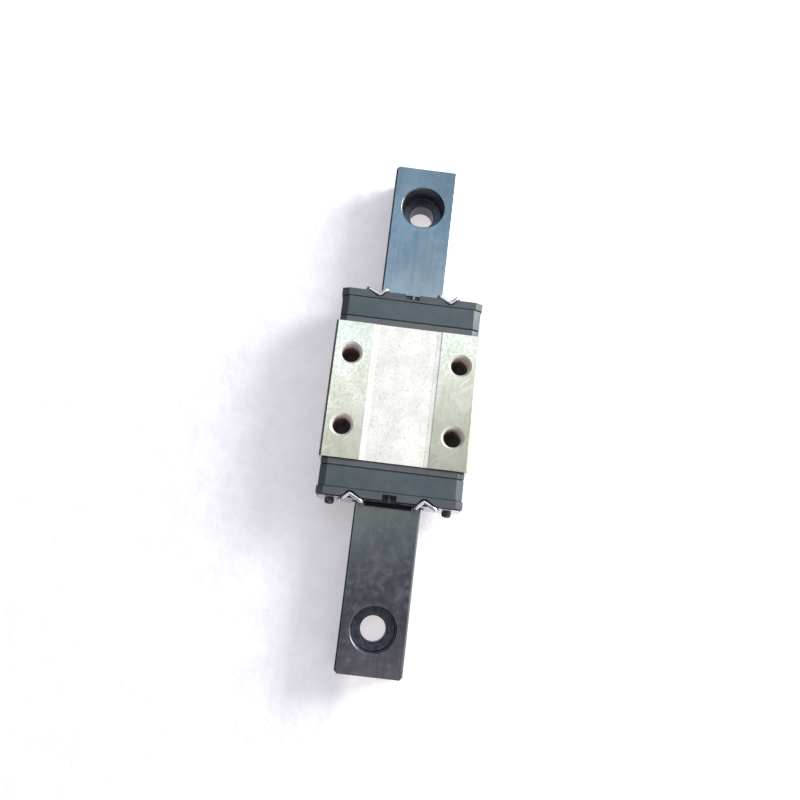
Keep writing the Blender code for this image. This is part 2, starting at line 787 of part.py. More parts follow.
def hang_from_frame(pieces, cutters, part):
    """Parents the carriage, and the cutters shaped for it, to an empty on the joint's axis."""
    frame = bpy.data.objects.new("carriage_frame", None)
    part.objects.link(frame)
    for item in pieces + [c for c in cutters.objects if not c.name.startswith("rail")]:
        item.parent = frame
    frame.location.x = CARRIAGE_X * MM


def main():
    clear_scene()
    part = new_collection("linear_guide")
    cutters = new_collection("cutters")
    rail_steel = new_material("rail_black_steel", (0.12, 0.14, 0.16), 0.35, 0.8)
    make_rail(part, cutters, rail_steel)
    hang_from_frame(make_carriage(part, cutters), cutters, part)


main()
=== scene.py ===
"""Looks for the miniature linear guide: every piece rebuilt finely around its CAD solid, and its finish.

Shape constants are in millimetres; MM turns them into metres where a mesh is made. Extents come from the
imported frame's boxes, so each piece fills the space of the solid it stands for.
"""

import math

import bmesh
import bpy
from mathutils import Matrix, Vector


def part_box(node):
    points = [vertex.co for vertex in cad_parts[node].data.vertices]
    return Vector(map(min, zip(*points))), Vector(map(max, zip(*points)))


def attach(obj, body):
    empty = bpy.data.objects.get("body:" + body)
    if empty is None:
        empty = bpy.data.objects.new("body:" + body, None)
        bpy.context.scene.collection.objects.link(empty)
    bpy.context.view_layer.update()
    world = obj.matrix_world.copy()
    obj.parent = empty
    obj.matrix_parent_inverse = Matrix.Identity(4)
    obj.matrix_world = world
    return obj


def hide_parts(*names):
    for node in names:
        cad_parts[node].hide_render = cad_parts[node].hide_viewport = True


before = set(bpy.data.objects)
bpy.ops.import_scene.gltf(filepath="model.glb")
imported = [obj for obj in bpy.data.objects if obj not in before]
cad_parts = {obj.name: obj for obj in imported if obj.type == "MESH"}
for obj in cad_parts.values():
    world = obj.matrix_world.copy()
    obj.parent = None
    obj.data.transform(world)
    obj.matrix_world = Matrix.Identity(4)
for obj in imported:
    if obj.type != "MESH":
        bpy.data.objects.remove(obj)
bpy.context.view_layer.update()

MM = 0.001


def box_mm(node):
    low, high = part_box(node)
    return low / MM, high / MM


# Extents read from the frame
RAIL_LOW, RAIL_HIGH = box_mm("rail")
BLOCK_LOW, BLOCK_HIGH = box_mm("carriage_block")
CARRIAGE_X = (BLOCK_LOW.x + BLOCK_HIGH.x) / 2
BLOCK_END = BLOCK_HIGH.x - CARRIAGE_X

# Rail
RAIL_HALF_WIDTH = RAIL_HIGH.y
RAIL_HEIGHT = RAIL_HIGH.z
RAIL_TOP_CHAMFER_Y = 0.23
RAIL_TOP_CHAMFER_Z = 0.15
RAIL_BASE_CHAMFER = 0.3
RAIL_CORNER_CHAMFER = 0.4
HOLE_PITCH = 20.0
HOLES_X = [(index - 1.5) * HOLE_PITCH for index in range(4)]
HOLE_RADIUS = 1.75
COUNTERBORE_RADIUS = 3.0
COUNTERBORE_DEPTH = 3.5
COUNTERBORE_CHAMFER = 0.15
WALL_MARKS = 5
WALL_MARK_SPACING = 0.55
LEDGE_MARKS = 3
LEDGE_MARK_SPACING = 0.28
RAIL_EDGE_ROUND = 0.06

# Balls and their track
BALL_RADIUS = 0.794
BALL_HEIGHT = 4.1
LOADED_Y = 4.72
RETURN_Y = 7.1
GROOVE_RADIUS = 0.83
CHANNEL_RADIUS = 0.9
ROW_BALLS = 11
TURN_BALLS = 2

# Steel block
BLOCK_HALF_WIDTH = BLOCK_HIGH.y
BLOCK_TOP = BLOCK_HIGH.z
BLOCK_BOTTOM = BLOCK_LOW.z
BLOCK_CHAMFER = 0.3
BLOCK_TOP_CHAMFER_Z = 0.2
INNER_HALF_WIDTH = 4.95
CEILING = 7.3
RECESS_HALF_WIDTH = 4.65
RECESS_DEPTH = 0.15
RECESS_STEP = 0.09
RECESS_STEP_SLOPE = 0.05
RECESS_FLOOR_HALF_WIDTH = 4.0
RECESS_LEDGE = 0.02  # height of the faint step at the edge of the recess floor
THREAD_X = 5.0
THREAD_Y = 7.5
THREAD_MINOR_RADIUS = 1.25
THREAD_MAJOR_RADIUS = 1.45
THREAD_MOUTH_RADIUS = 1.6
THREAD_COUNTERSINK = 0.3
THREAD_PITCH = 0.5
THREAD_DEPTH = 3.0
DRILL_POINT_DEPTH = 0.7
BLOCK_EDGE_ROUND = 0.05

# End pieces
CAP_CHAMFER_Y = 0.95
CAP_CHAMFER_Z = 0.6
CAP_CORNER_RADIUS = 1.4
CAP_OPENING_HALF_WIDTH = 5.3
CAP_CEILING = 7.4
SCRAPER_OPENING_HALF_WIDTH = 4.9
LIP_CLEARANCE = 0.1
WIPER_HALF_WIDTH = 3.2
WIPER_BOTTOM = 6.65
WIPER_TOP = 7.3
WIPER_CHAMFER = 0.15
SEAL_THICKNESS = 1.01
CLEARANCE = 0.04
CAP_GROOVE_WIDTH = 0.1
CAP_GROOVE_DEPTH = 0.2
PLATE_EDGE_ROUND = 0.07
CAP_EDGE_ROUND = 0.08
SEAL_EDGE_ROUND = 0.06
SCRAPER_EDGE_ROUND = 0.025

# Retainer wire
WIRE_RADIUS = 0.27
WIRE_RUN_Y = 4.9
WIRE_RUN_Z = 5.35
WIRE_RELIEF_RADIUS = 0.33
WIRE_EXIT_Y = 3.95
WIRE_EXIT_Z = 6.97
WIRE_EXIT_SPACE = 0.15
WIRE_TUCK_Y = 6.6
WIRE_TUCK_Z = 6.95
WIRE_TUCK_HOLE_RADIUS = 0.4
HOOK_DEPTH = 0.8
HOOK_Z = 9.4
HOOK_FOOT_Z = 9.25
HOOK_TIP_Y = (4.65, 5.27)  # the left wire's far hook, then its near one
HOOK_FEET_Y = (3.65, 6.35)
NOTCH_DEPTH = 0.8
NOTCH_SPACE = 0.3  # room in the notch beside the wire
NOTCH_BELOW_HOOK = 0.6

# Cap screws
SCREW_Y = 8.0
SCREW_Z = 6.1
SCREW_SHANK_RADIUS = 0.5
SCREW_HEAD_RADIUS = 0.66
SCREW_HEAD_HEIGHT = 0.8
SCREW_SOCKET_RADIUS = 0.36
SCREW_SOCKET_FLOOR = 0.36
SCREW_THREAD_PITCH = 0.25

# Grease plug
PLUG_RADIUS = 0.35
PLUG_Z = 8.75
GREASE_SLOT_HALF_WIDTH = 0.95
GREASE_SLOT_FLOOR = 8.0
GREASE_SLOT_INNER = 13.6

ALONG_X = Matrix(((0, 0, 1), (1, 0, 0), (0, 1, 0))).to_4x4()  # local Z becomes X, local X becomes Y
UPRIGHT = Matrix.Identity(4)
FAR_END = Matrix.Translation((CARRIAGE_X * MM, 0, 0))
NEAR_END = FAR_END @ Matrix.Rotation(math.pi, 4, "Z")


# Outlines and paths


def arc(centre, radius, start, end, steps):
    """Points on a circle, from one angle to another in degrees."""
    angles = [math.radians(start + (end - start) * i / steps) for i in range(steps + 1)]
    return [(centre[0] + radius * math.cos(a), centre[1] + radius * math.sin(a)) for a in angles]


def both_sides(half):
    """A closed outline from its +Y half, which runs from the middle of the top round to the opening."""
    return half + [(-y, z) for y, z in reversed(half)]


def wall_angle(centre_y, wall_y, radius):
    """Angle above the horizontal at which a circle about centre_y meets a vertical wall."""
    return math.degrees(math.acos((wall_y - centre_y) / radius))


def rail_outline():
    meet = wall_angle(LOADED_Y, RAIL_HALF_WIDTH, GROOVE_RADIUS)
    groove = arc((LOADED_Y, BALL_HEIGHT), GROOVE_RADIUS, meet, 360 - meet, 24)
    top = [
        (RAIL_HALF_WIDTH - RAIL_TOP_CHAMFER_Y, RAIL_HEIGHT),
        (RAIL_HALF_WIDTH, RAIL_HEIGHT - RAIL_TOP_CHAMFER_Z),
    ]
    base = [(RAIL_HALF_WIDTH, RAIL_BASE_CHAMFER), (RAIL_HALF_WIDTH - RAIL_BASE_CHAMFER, 0)]
    return both_sides(top + groove + base)


def block_outline():
    meet = wall_angle(LOADED_Y, INNER_HALF_WIDTH, GROOVE_RADIUS)
    groove = arc((LOADED_Y, BALL_HEIGHT), GROOVE_RADIUS, -meet, meet, 20)
    wire_meet = wall_angle(WIRE_RUN_Y, INNER_HALF_WIDTH, WIRE_RELIEF_RADIUS)
    relief = arc((WIRE_RUN_Y, WIRE_RUN_Z), WIRE_RELIEF_RADIUS, -wire_meet, wire_meet, 10)
    top = [
        (RECESS_FLOOR_HALF_WIDTH, BLOCK_TOP - RECESS_DEPTH),
        (RECESS_FLOOR_HALF_WIDTH + RECESS_LEDGE, BLOCK_TOP - RECESS_DEPTH + RECESS_LEDGE),
        (RECESS_HALF_WIDTH - RECESS_STEP_SLOPE, BLOCK_TOP - RECESS_STEP),
        (RECESS_HALF_WIDTH, BLOCK_TOP),
        (BLOCK_HALF_WIDTH - BLOCK_CHAMFER, BLOCK_TOP),
        (BLOCK_HALF_WIDTH, BLOCK_TOP - BLOCK_TOP_CHAMFER_Z),
    ]
    foot = [
        (BLOCK_HALF_WIDTH, BLOCK_BOTTOM + BLOCK_CHAMFER),
        (BLOCK_HALF_WIDTH - BLOCK_CHAMFER, BLOCK_BOTTOM),
        (INNER_HALF_WIDTH + BLOCK_CHAMFER, BLOCK_BOTTOM),
        (INNER_HALF_WIDTH, BLOCK_BOTTOM + BLOCK_CHAMFER),
    ]
    ceiling = [(INNER_HALF_WIDTH, CEILING - BLOCK_CHAMFER), (INNER_HALF_WIDTH - BLOCK_CHAMFER, CEILING)]
    return both_sides(top + foot + groove + relief + ceiling)


def cap_outer_half(low, high):
    """The outside of an end piece: top edge, side chamfer, side and round lower corner."""
    corner = (high.y - CAP_CORNER_RADIUS, low.z + CAP_CORNER_RADIUS)
    return [
        (high.y - CAP_CHAMFER_Y, high.z),
        (high.y, high.z - CAP_CHAMFER_Z),
        *arc(corner, CAP_CORNER_RADIUS, 0, -90, 14),
    ]


def cap_outline(low, high, inset=0.0):
    """The whole outline of a return plate or cap; an inset draws it in all round."""
    low = low + Vector((0, inset, inset))
    high = high - Vector((0, inset, inset))
    inner = CAP_OPENING_HALF_WIDTH + inset
    ceiling = CAP_CEILING + inset
    opening = [(inner, low.z), (inner, ceiling - 0.4), (inner - 0.4, ceiling)]
    return both_sides(cap_outer_half(low, high) + opening)


def seal_outline(low, high):
    """The seal's opening follows the rail, with lips that reach into its grooves."""
    lip_y = RAIL_HALF_WIDTH + LIP_CLEARANCE
    lip_z = RAIL_HEIGHT + LIP_CLEARANCE
    tongue_radius = GROOVE_RADIUS - LIP_CLEARANCE
    meet = wall_angle(LOADED_Y, lip_y, tongue_radius)
    tongue = arc((LOADED_Y, BALL_HEIGHT), tongue_radius, 360 - meet, meet, 20)
    opening = [
        (lip_y, low.z),
        *tongue,
        (lip_y, lip_z - RAIL_TOP_CHAMFER_Z),
        (lip_y - RAIL_TOP_CHAMFER_Y, lip_z),
    ]
    return both_sides(cap_outer_half(low, high) + opening)


def wiper_outline():
    """The bar above the rail that sticks out of the seal, through the opening in the scraper plate."""
    side = [
        (WIPER_HALF_WIDTH - WIPER_CHAMFER, WIPER_TOP),
        (WIPER_HALF_WIDTH, WIPER_TOP - WIPER_CHAMFER),
        (WIPER_HALF_WIDTH, WIPER_BOTTOM),
    ]
    return both_sides(side)


def scraper_outline(low, high):
    grease_slot = [(GREASE_SLOT_HALF_WIDTH, GREASE_SLOT_FLOOR), (GREASE_SLOT_HALF_WIDTH, high.z)]
    corner = (high.y - CAP_CORNER_RADIUS, low.z + CAP_CORNER_RADIUS)
    side = [
        (high.y - 0.3, high.z),
        (high.y, high.z - 0.3),
        *arc(corner, CAP_CORNER_RADIUS, 0, -90, 14),
    ]
    opening = [(SCRAPER_OPENING_HALF_WIDTH, low.z), (SCRAPER_OPENING_HALF_WIDTH, CAP_CEILING)]
    return both_sides(grease_slot + side + opening)


def smooth_path(points, steps):
    """Catmull-Rom curve through the points, with the same number of steps in each span."""
    points = [Vector(p) for p in points]
    points = [2 * points[0] - points[1], *points, 2 * points[-1] - points[-2]]
    path = []
    for before, start, end, after in zip(points, points[1:], points[2:], points[3:]):
        for i in range(steps):
            t = i / steps
            bend = 2 * before - 5 * start + 4 * end - after
            twist = 3 * start - before - 3 * end + after
            path.append((2 * start + (end - before) * t + bend * t**2 + twist * t**3) / 2)
    return path + [points[-2]]


# Solids


def object_from_bmesh(name, shape):
    mesh = bpy.data.meshes.new(name)
    shape.to_mesh(mesh)
    shape.free()
    item = bpy.data.objects.new(name, mesh)
    bpy.context.scene.collection.objects.link(item)
    return item


def prism(name, outline, start, end, turn):
    """An outline pushed along X (ALONG_X, outline in y and z) or Z (UPRIGHT, outline in x and y)."""
    shape = bmesh.new()
    ring = [shape.verts.new((across * MM, up * MM, start * MM)) for across, up in outline]
    face = shape.faces.new(ring)
    pushed = bmesh.ops.extrude_face_region(shape, geom=[face])["geom"]
    moved = [v for v in pushed if isinstance(v, bmesh.types.BMVert)]
    bmesh.ops.translate(shape, verts=moved, vec=(0, 0, (end - start) * MM))
    shape.transform(turn)
    bmesh.ops.recalc_face_normals(shape, faces=shape.faces)
    return object_from_bmesh(name, shape)


def turned(name, profile, steps, turn, place):
    """A closed solid of revolution; the profile holds (radius, height) and starts and ends on the axis."""
    shape = bmesh.new()
    rings = []
    for radius, height in profile:
        count = 1 if radius == 0 else steps
        turns = [2 * math.pi * i / count for i in range(count)]
        points = [(radius * math.cos(a) * MM, radius * math.sin(a) * MM, height * MM) for a in turns]
        rings.append([shape.verts.new(p) for p in points])
    skin(shape, rings)
    shape.transform(Matrix.Translation(Vector(place) * MM) @ turn)
    bmesh.ops.recalc_face_normals(shape, faces=shape.faces)
    return object_from_bmesh(name, shape)


def skin(shape, rings):
    """Faces between rings of points; a ring may be a single point on the axis."""
    for upper, lower in zip(rings, rings[1:]):
        count = max(len(upper), len(lower))
        for i in range(count):
            j = (i + 1) % count
            above = [upper[i % len(upper)], upper[j % len(upper)]]
            below = [lower[j % len(lower)], lower[i % len(lower)]]
            shape.faces.new(list(dict.fromkeys(above + below)))


def cut(item, cutter, operation="DIFFERENCE"):
    boolean = item.modifiers.new(cutter.name, "BOOLEAN")
    boolean.operation = operation
    boolean.solver = "EXACT"
    boolean.object = cutter
    bake(item)
    bpy.data.objects.remove(cutter, do_unlink=True)


def round_edges(item, width, segments=3):
    """Rounds every crease of more than 25 degrees."""
    bevel = item.modifiers.new("edges", "BEVEL")
    bevel.width = width * MM
    bevel.segments = segments
    bevel.limit_method = "ANGLE"
    bevel.angle_limit = math.radians(25)
    bevel.miter_outer = "MITER_ARC"
    bake(item)


def bake(item):
    """Puts the evaluated shape into the object's own mesh."""
    bpy.context.view_layer.update()
    graph = bpy.context.evaluated_depsgraph_get()
    mesh = bpy.data.meshes.new_from_object(item.evaluated_get(graph))
    item.modifiers.clear()
    item.data = mesh


def finish_piece(item, node, body, material):
    """Smooth shading with creases kept, the finish, and the piece's place in the frame."""
    item.name = "fine_" + node
    if not item.data.materials:
        item.data.materials.append(material)
    item.data.shade_smooth()
    item.data.set_sharp_from_angle(angle=math.radians(32))
    weighted = item.modifiers.new("normals", "WEIGHTED_NORMAL")
    weighted.keep_sharp = True
    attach(item, body)
    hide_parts(node)


def moved_copy(item, place):
    """A separate piece with its own mesh, already in place."""
    copy = bpy.data.objects.new(item.name, item.data.copy())
    copy.data.transform(place)
    bpy.context.scene.collection.objects.link(copy)
    return copy


def finish_both_ends(item, node, material):
    """Places a far-end piece, and the same piece turned half round at the near end."""
    for end, place in (("far", FAR_END), ("near", NEAR_END)):
        finish_piece(moved_copy(item, place), f"{node}_{end}", "carriage", material)
    bpy.data.objects.remove(item, do_unlink=True)


# Finishes


class Finish:
    """A material whose nodes are added one by one; every texture reads the piece's own millimetres."""

    def __init__(self, name, colour, roughness, metallic):
        self.material = bpy.data.materials.new(name)
        self.material.use_nodes = True
        self.tree = self.material.node_tree
        self.shader = self.tree.nodes["Principled BSDF"]
        self.shader.inputs["Base Color"].default_value = (*colour, 1)
        self.shader.inputs["Roughness"].default_value = roughness
        self.shader.inputs["Metallic"].default_value = metallic
        self.place = self.tree.nodes.new("ShaderNodeTexCoord").outputs["Object"]
        self.bump = None

    def stretched(self, per_mm, turn=0.0):
        """Coordinates with this many cells per millimetre along X, Y and Z, first turned about Z."""
        mapping = self.tree.nodes.new("ShaderNodeMapping")
        mapping.vector_type = "TEXTURE" if turn else "POINT"
        if turn:
            mapping.inputs["Rotation"].default_value = (0, 0, turn)
            mapping.inputs["Scale"].default_value = [MM / s for s in per_mm]
        else:
            mapping.inputs["Scale"].default_value = [s / MM for s in per_mm]
        self.tree.links.new(self.place, mapping.inputs["Vector"])
        return mapping.outputs["Vector"]

    def noise(self, per_mm, detail=3.0, roughness=0.5, turn=0.0):
        node = self.tree.nodes.new("ShaderNodeTexNoise")
        node.inputs["Scale"].default_value = 1
        node.inputs["Detail"].default_value = detail
        node.inputs["Roughness"].default_value = roughness
        self.tree.links.new(self.stretched(per_mm, turn), node.inputs["Vector"])
        return node.outputs["Fac"]

    def cells(self, per_mm, randomness=1.0):
        node = self.tree.nodes.new("ShaderNodeTexVoronoi")
        node.inputs["Scale"].default_value = 1
        node.inputs["Randomness"].default_value = randomness
        self.tree.links.new(self.stretched(per_mm), node.inputs["Vector"])
        return node.outputs["Distance"]

    def fitted(self, value, low, high, out_low=0.0, out_high=1.0):
        node = self.tree.nodes.new("ShaderNodeMapRange")
        node.interpolation_type = "SMOOTHSTEP"
        limits = {"From Min": low, "From Max": high, "To Min": out_low, "To Max": out_high}
        for socket, number in limits.items():
            node.inputs[socket].default_value = number
        self.tree.links.new(value, node.inputs["Value"])
        return node.outputs["Result"]

    def combined(self, first, second, operation):
        """Arithmetic on two values; each is a number or another node's result."""
        node = self.tree.nodes.new("ShaderNodeMath")
        node.operation = operation
        for socket, value in zip(node.inputs, (first, second)):
            if isinstance(value, (int, float)):
                socket.default_value = value
            else:
                self.tree.links.new(value, socket)
        return node.outputs["Value"]

    def coordinate(self, axis):
        node = self.tree.nodes.new("ShaderNodeSeparateXYZ")
        self.tree.links.new(self.stretched((1, 1, 1)), node.inputs["Vector"])
        return node.outputs[axis]

    def colours(self, amount, first, second):
        """Mixes two colours; each is a triple or another mix's result."""
        node = self.tree.nodes.new("ShaderNodeMix")
        node.data_type = "RGBA"
        self.tree.links.new(amount, node.inputs["Factor"])
        for socket, colour in ((node.inputs[6], first), (node.inputs[7], second)):
            if isinstance(colour, tuple):
                socket.default_value = (*colour, 1)
            else:
                self.tree.links.new(colour, socket)
        return node.outputs[2]

    def set_colour(self, colour):
        self.tree.links.new(colour, self.shader.inputs["Base Color"])

    def set_roughness(self, value):
        self.tree.links.new(value, self.shader.inputs["Roughness"])

    def raise_by(self, height, depth_mm):
        """Adds relief of this depth; a later call adds to the earlier ones."""
        node = self.tree.nodes.new("ShaderNodeBump")
        node.inputs["Strength"].default_value = 1
        node.inputs["Distance"].default_value = depth_mm * MM
        self.tree.links.new(height, node.inputs["Height"])
        if self.bump:
            self.tree.links.new(self.bump, node.inputs["Normal"])
        self.bump = node.outputs["Normal"]
        self.tree.links.new(self.bump, self.shader.inputs["Normal"])


def rail_finish():
    """Black-coated steel ground along its length, with smudges and a few short scratches."""
    finish = Finish("rail_coating", (0.2, 0.22, 0.24), 0.2, 0.95)
    grinding = finish.noise((0.05, 7, 7), 4, 0.6)
    cloud = finish.noise((0.12, 0.2, 0.2), 4, 0.55)
    smudge = finish.noise((0.9, 0.9, 0.9), 6, 0.7)
    scratch = finish.fitted(finish.noise((0.5, 16, 4), 1, 0.4, 1.35), 0.76, 0.8)
    body = finish.colours(finish.fitted(cloud, 0.35, 0.65), (0.17, 0.185, 0.2), (0.23, 0.25, 0.265))
    stained = finish.colours(finish.fitted(smudge, 0.5, 0.68, 0, 0.45), body, (0.27, 0.25, 0.28))
    ground = finish.colours(finish.fitted(grinding, 0.3, 0.7, 0, 0.25), stained, (0.29, 0.31, 0.33))
    finish.set_colour(finish.colours(scratch, ground, (0.6, 0.6, 0.58)))
    finish.set_roughness(finish.fitted(smudge, 0.35, 0.7, 0.14, 0.24))
    finish.raise_by(grinding, 0.0012)
    finish.raise_by(smudge, 0.002)
    return finish.material


def bore_finish():
    """The rail's black coating inside the counterbores, drawn darker there as painted shade, with the
    tool's rings.
    """
    finish = Finish("bore_coating_painted_shade", (0.06, 0.065, 0.08), 0.35, 0.8)
    rings = finish.noise((0.4, 0.4, 6), 3, 0.6)
    film = finish.noise((1.5, 1.5, 1.5), 4, 0.6)
    oily = finish.fitted(film, 0.35, 0.65)
    # both colours are painted shade: darker than the rail's own coating outside the holes
    finish.set_colour(finish.colours(oily, (0.06, 0.07, 0.095), (0.12, 0.13, 0.155)))
    finish.set_roughness(finish.fitted(film, 0.3, 0.7, 0.28, 0.45))
    finish.raise_by(rings, 0.004)
    return finish.material


def steel_finish():
    """Ground bearing steel: fine lines along the block and a faint yellowish cast."""
    finish = Finish("ground_steel", (0.66, 0.66, 0.61), 0.25, 1.0)
    grinding = finish.noise((0.3, 5, 5), 3, 0.6)
    cloud = finish.noise((0.25, 0.3, 0.3), 5, 0.6)
    speck = finish.noise((2.2, 2.2, 2.2), 5, 0.75)
    scratch = finish.fitted(finish.noise((0.3, 9, 3), 1, 0.4, -0.8), 0.7, 0.76)
    body = finish.colours(finish.fitted(cloud, 0.35, 0.65), (0.5, 0.485, 0.39), (0.61, 0.6, 0.52))
    ground = finish.colours(finish.fitted(grinding, 0.3, 0.7, 0, 0.3), body, (0.7, 0.71, 0.65))
    dull = finish.colours(finish.fitted(speck, 0.48, 0.66, 0, 0.45), ground, (0.45, 0.43, 0.33))
    finish.set_colour(finish.colours(scratch, dull, (0.85, 0.84, 0.8)))
    finish.set_roughness(finish.fitted(speck, 0.3, 0.7, 0.2, 0.28))
    finish.raise_by(grinding, 0.001)
    finish.raise_by(speck, 0.0015)
    return finish.material


def recess_finish():
    """The block's unground skin between the strips: pale, matte and finely pitted."""
    finish = Finish("blasted_steel", (0.8, 0.79, 0.74), 0.6, 0.55)
    grain = finish.noise((3.5, 3.5, 3.5), 4, 0.7)
    pits = finish.cells((2.6, 2.6, 2.6))
    cloud = finish.noise((0.3, 0.3, 0.3), 3, 0.5)
    pale = finish.colours(finish.fitted(cloud, 0.35, 0.65), (0.75, 0.735, 0.685), (0.86, 0.84, 0.795))
    speckled = finish.colours(finish.fitted(grain, 0.48, 0.68, 0, 0.6), pale, (0.54, 0.52, 0.42))
    finish.set_colour(speckled)
    finish.set_roughness(finish.fitted(grain, 0.3, 0.7, 0.5, 0.7))
    finish.raise_by(grain, 0.012)
    finish.raise_by(pits, 0.01)
    return finish.material


def thread_finish():
    """Oily steel inside the mounting threads, with painted shade that turns it near black towards the
    bottom of each hole.
    """
    finish = Finish("thread_steel_painted_shade", (0.42, 0.33, 0.27), 0.5, 0.5)
    oil = finish.noise((1.2, 1.2, 1.2), 4, 0.6)
    upper = finish.colours(finish.fitted(oil, 0.35, 0.65), (0.6, 0.5, 0.43), (0.82, 0.74, 0.68))
    # painted shade: near black deep in the hole, full colour near its mouth
    depth = finish.fitted(finish.coordinate("Z"), BLOCK_TOP - 3.3, BLOCK_TOP - 2.2)
    finish.set_colour(finish.colours(depth, (0.03, 0.026, 0.022), upper))
    finish.set_roughness(finish.fitted(oil, 0.3, 0.7, 0.4, 0.6))
    finish.raise_by(finish.noise((6, 6, 6), 3), 0.004)
    return finish.material


def countersink_finish():
    """Freshly cut, bright steel at the mouths of the threads."""
    finish = Finish("cut_steel", (0.84, 0.8, 0.76), 0.4, 0.6)
    tool = finish.noise((3, 3, 9), 4, 0.6)
    finish.set_colour(finish.colours(finish.fitted(tool, 0.35, 0.65), (0.7, 0.66, 0.62), (0.86, 0.83, 0.8)))
    finish.set_roughness(finish.fitted(tool, 0.3, 0.7, 0.35, 0.5))
    finish.raise_by(tool, 0.003)
    return finish.material


def plastic_finish(name, dark, light, roughness, grain_depth, handled):
    """Moulded plastic or rubber with a fine grain; handled parts carry faint pale rubs."""
    finish = Finish(name, dark, roughness, 0.0)
    grain = finish.noise((9, 9, 9), 3, 0.6)
    cloud = finish.noise((0.35, 0.35, 0.35), 5, 0.6)
    rub = finish.noise((0.9, 1.4, 1.0), 6, 0.7)
    body = finish.colours(finish.fitted(cloud, 0.35, 0.65), dark, light)
    pale = tuple(c * 1.7 for c in light)
    finish.set_colour(finish.colours(finish.fitted(rub, 0.58, 0.75, 0, handled), body, pale))
    finish.set_roughness(finish.fitted(rub, 0.3, 0.7, roughness - 0.07, roughness + 0.08))
    finish.raise_by(grain, grain_depth)
    finish.raise_by(cloud, 0.004)
    return finish.material


def scraper_finish():
    """Thin rolled stainless sheet, satin across the plate."""
    finish = Finish("stamped_sheet", (0.6, 0.6, 0.61), 0.3, 1.0)
    rolling = finish.noise((9, 0.15, 9), 3, 0.6)
    film = finish.noise((0.6, 0.6, 0.6), 4, 0.6)
    streaks = finish.fitted(rolling, 0.3, 0.7)
    finish.set_colour(finish.colours(streaks, (0.52, 0.52, 0.53), (0.68, 0.68, 0.69)))
    finish.set_roughness(finish.fitted(film, 0.3, 0.7, 0.22, 0.38))
    finish.raise_by(rolling, 0.001)
    return finish.material


def sheared_finish():
    """The dull, dark edge that a punch leaves on sheet."""
    finish = Finish("sheared_edge", (0.1, 0.1, 0.1), 0.5, 0.8)
    tearing = finish.noise((8, 3, 3), 3, 0.6)
    torn = finish.fitted(tearing, 0.35, 0.65)
    finish.set_colour(finish.colours(torn, (0.05, 0.05, 0.055), (0.14, 0.14, 0.14)))
    finish.set_roughness(finish.fitted(tearing, 0.3, 0.7, 0.4, 0.6))
    return finish.material


def screw_finish():
    """Black oxide with random pale patches of worn metal, which also serve as a painted highlight on the
    heads.
    """
    finish = Finish("black_oxide", (0.08, 0.08, 0.09), 0.25, 0.9)
    patch_noise = finish.noise((2.5, 2.5, 2.5), 4, 0.6)
    pale_wear_and_highlight = finish.fitted(patch_noise, 0.5, 0.7, 0, 0.6)
    # pale patches: worn metal and painted highlight
    finish.set_colour(finish.colours(pale_wear_and_highlight, (0.07, 0.07, 0.08), (0.4, 0.39, 0.38)))
    finish.set_roughness(finish.fitted(patch_noise, 0.3, 0.7, 0.2, 0.3))
    finish.raise_by(finish.noise((10, 10, 10), 2), 0.002)
    return finish.material


def wire_finish():
    """Bright drawn spring wire with fine draw marks."""
    finish = Finish("drawn_wire", (0.78, 0.78, 0.78), 0.2, 1.0)
    film = finish.noise((2, 2, 2), 4, 0.6)
    bright = finish.fitted(film, 0.35, 0.7)
    finish.set_colour(finish.colours(bright, (0.66, 0.66, 0.67), (0.86, 0.86, 0.86)))
    finish.set_roughness(finish.fitted(film, 0.3, 0.7, 0.1, 0.2))
    finish.raise_by(finish.noise((12, 12, 12), 2), 0.001)
    return finish.material


def ball_finish():
    """Polished bearing steel under a thin film of oil."""
    finish = Finish("polished_balls", (0.78, 0.78, 0.8), 0.06, 1.0)
    film = finish.noise((0.8, 0.8, 0.8), 3, 0.6)
    finish.set_colour(finish.colours(finish.fitted(film, 0.35, 0.7), (0.7, 0.69, 0.68), (0.82, 0.82, 0.84)))
    finish.set_roughness(finish.fitted(film, 0.3, 0.7, 0.04, 0.12))
    return finish.material


# Rail


def rail_corner_cutter(end, side):
    """A triangular wedge that takes one upright corner off the rail."""
    tip_x = RAIL_HIGH.x if end > 0 else RAIL_LOW.x
    tip_y = side * RAIL_HALF_WIDTH
    run = RAIL_CORNER_CHAMFER
    wedge = [
        (tip_x - end * run * 2, tip_y + side * run),
        (tip_x + end * run, tip_y + side * run),
        (tip_x + end * run, tip_y - side * run * 2),
    ]
    return prism("corner", wedge, -1, RAIL_HEIGHT + 1, UPRIGHT)


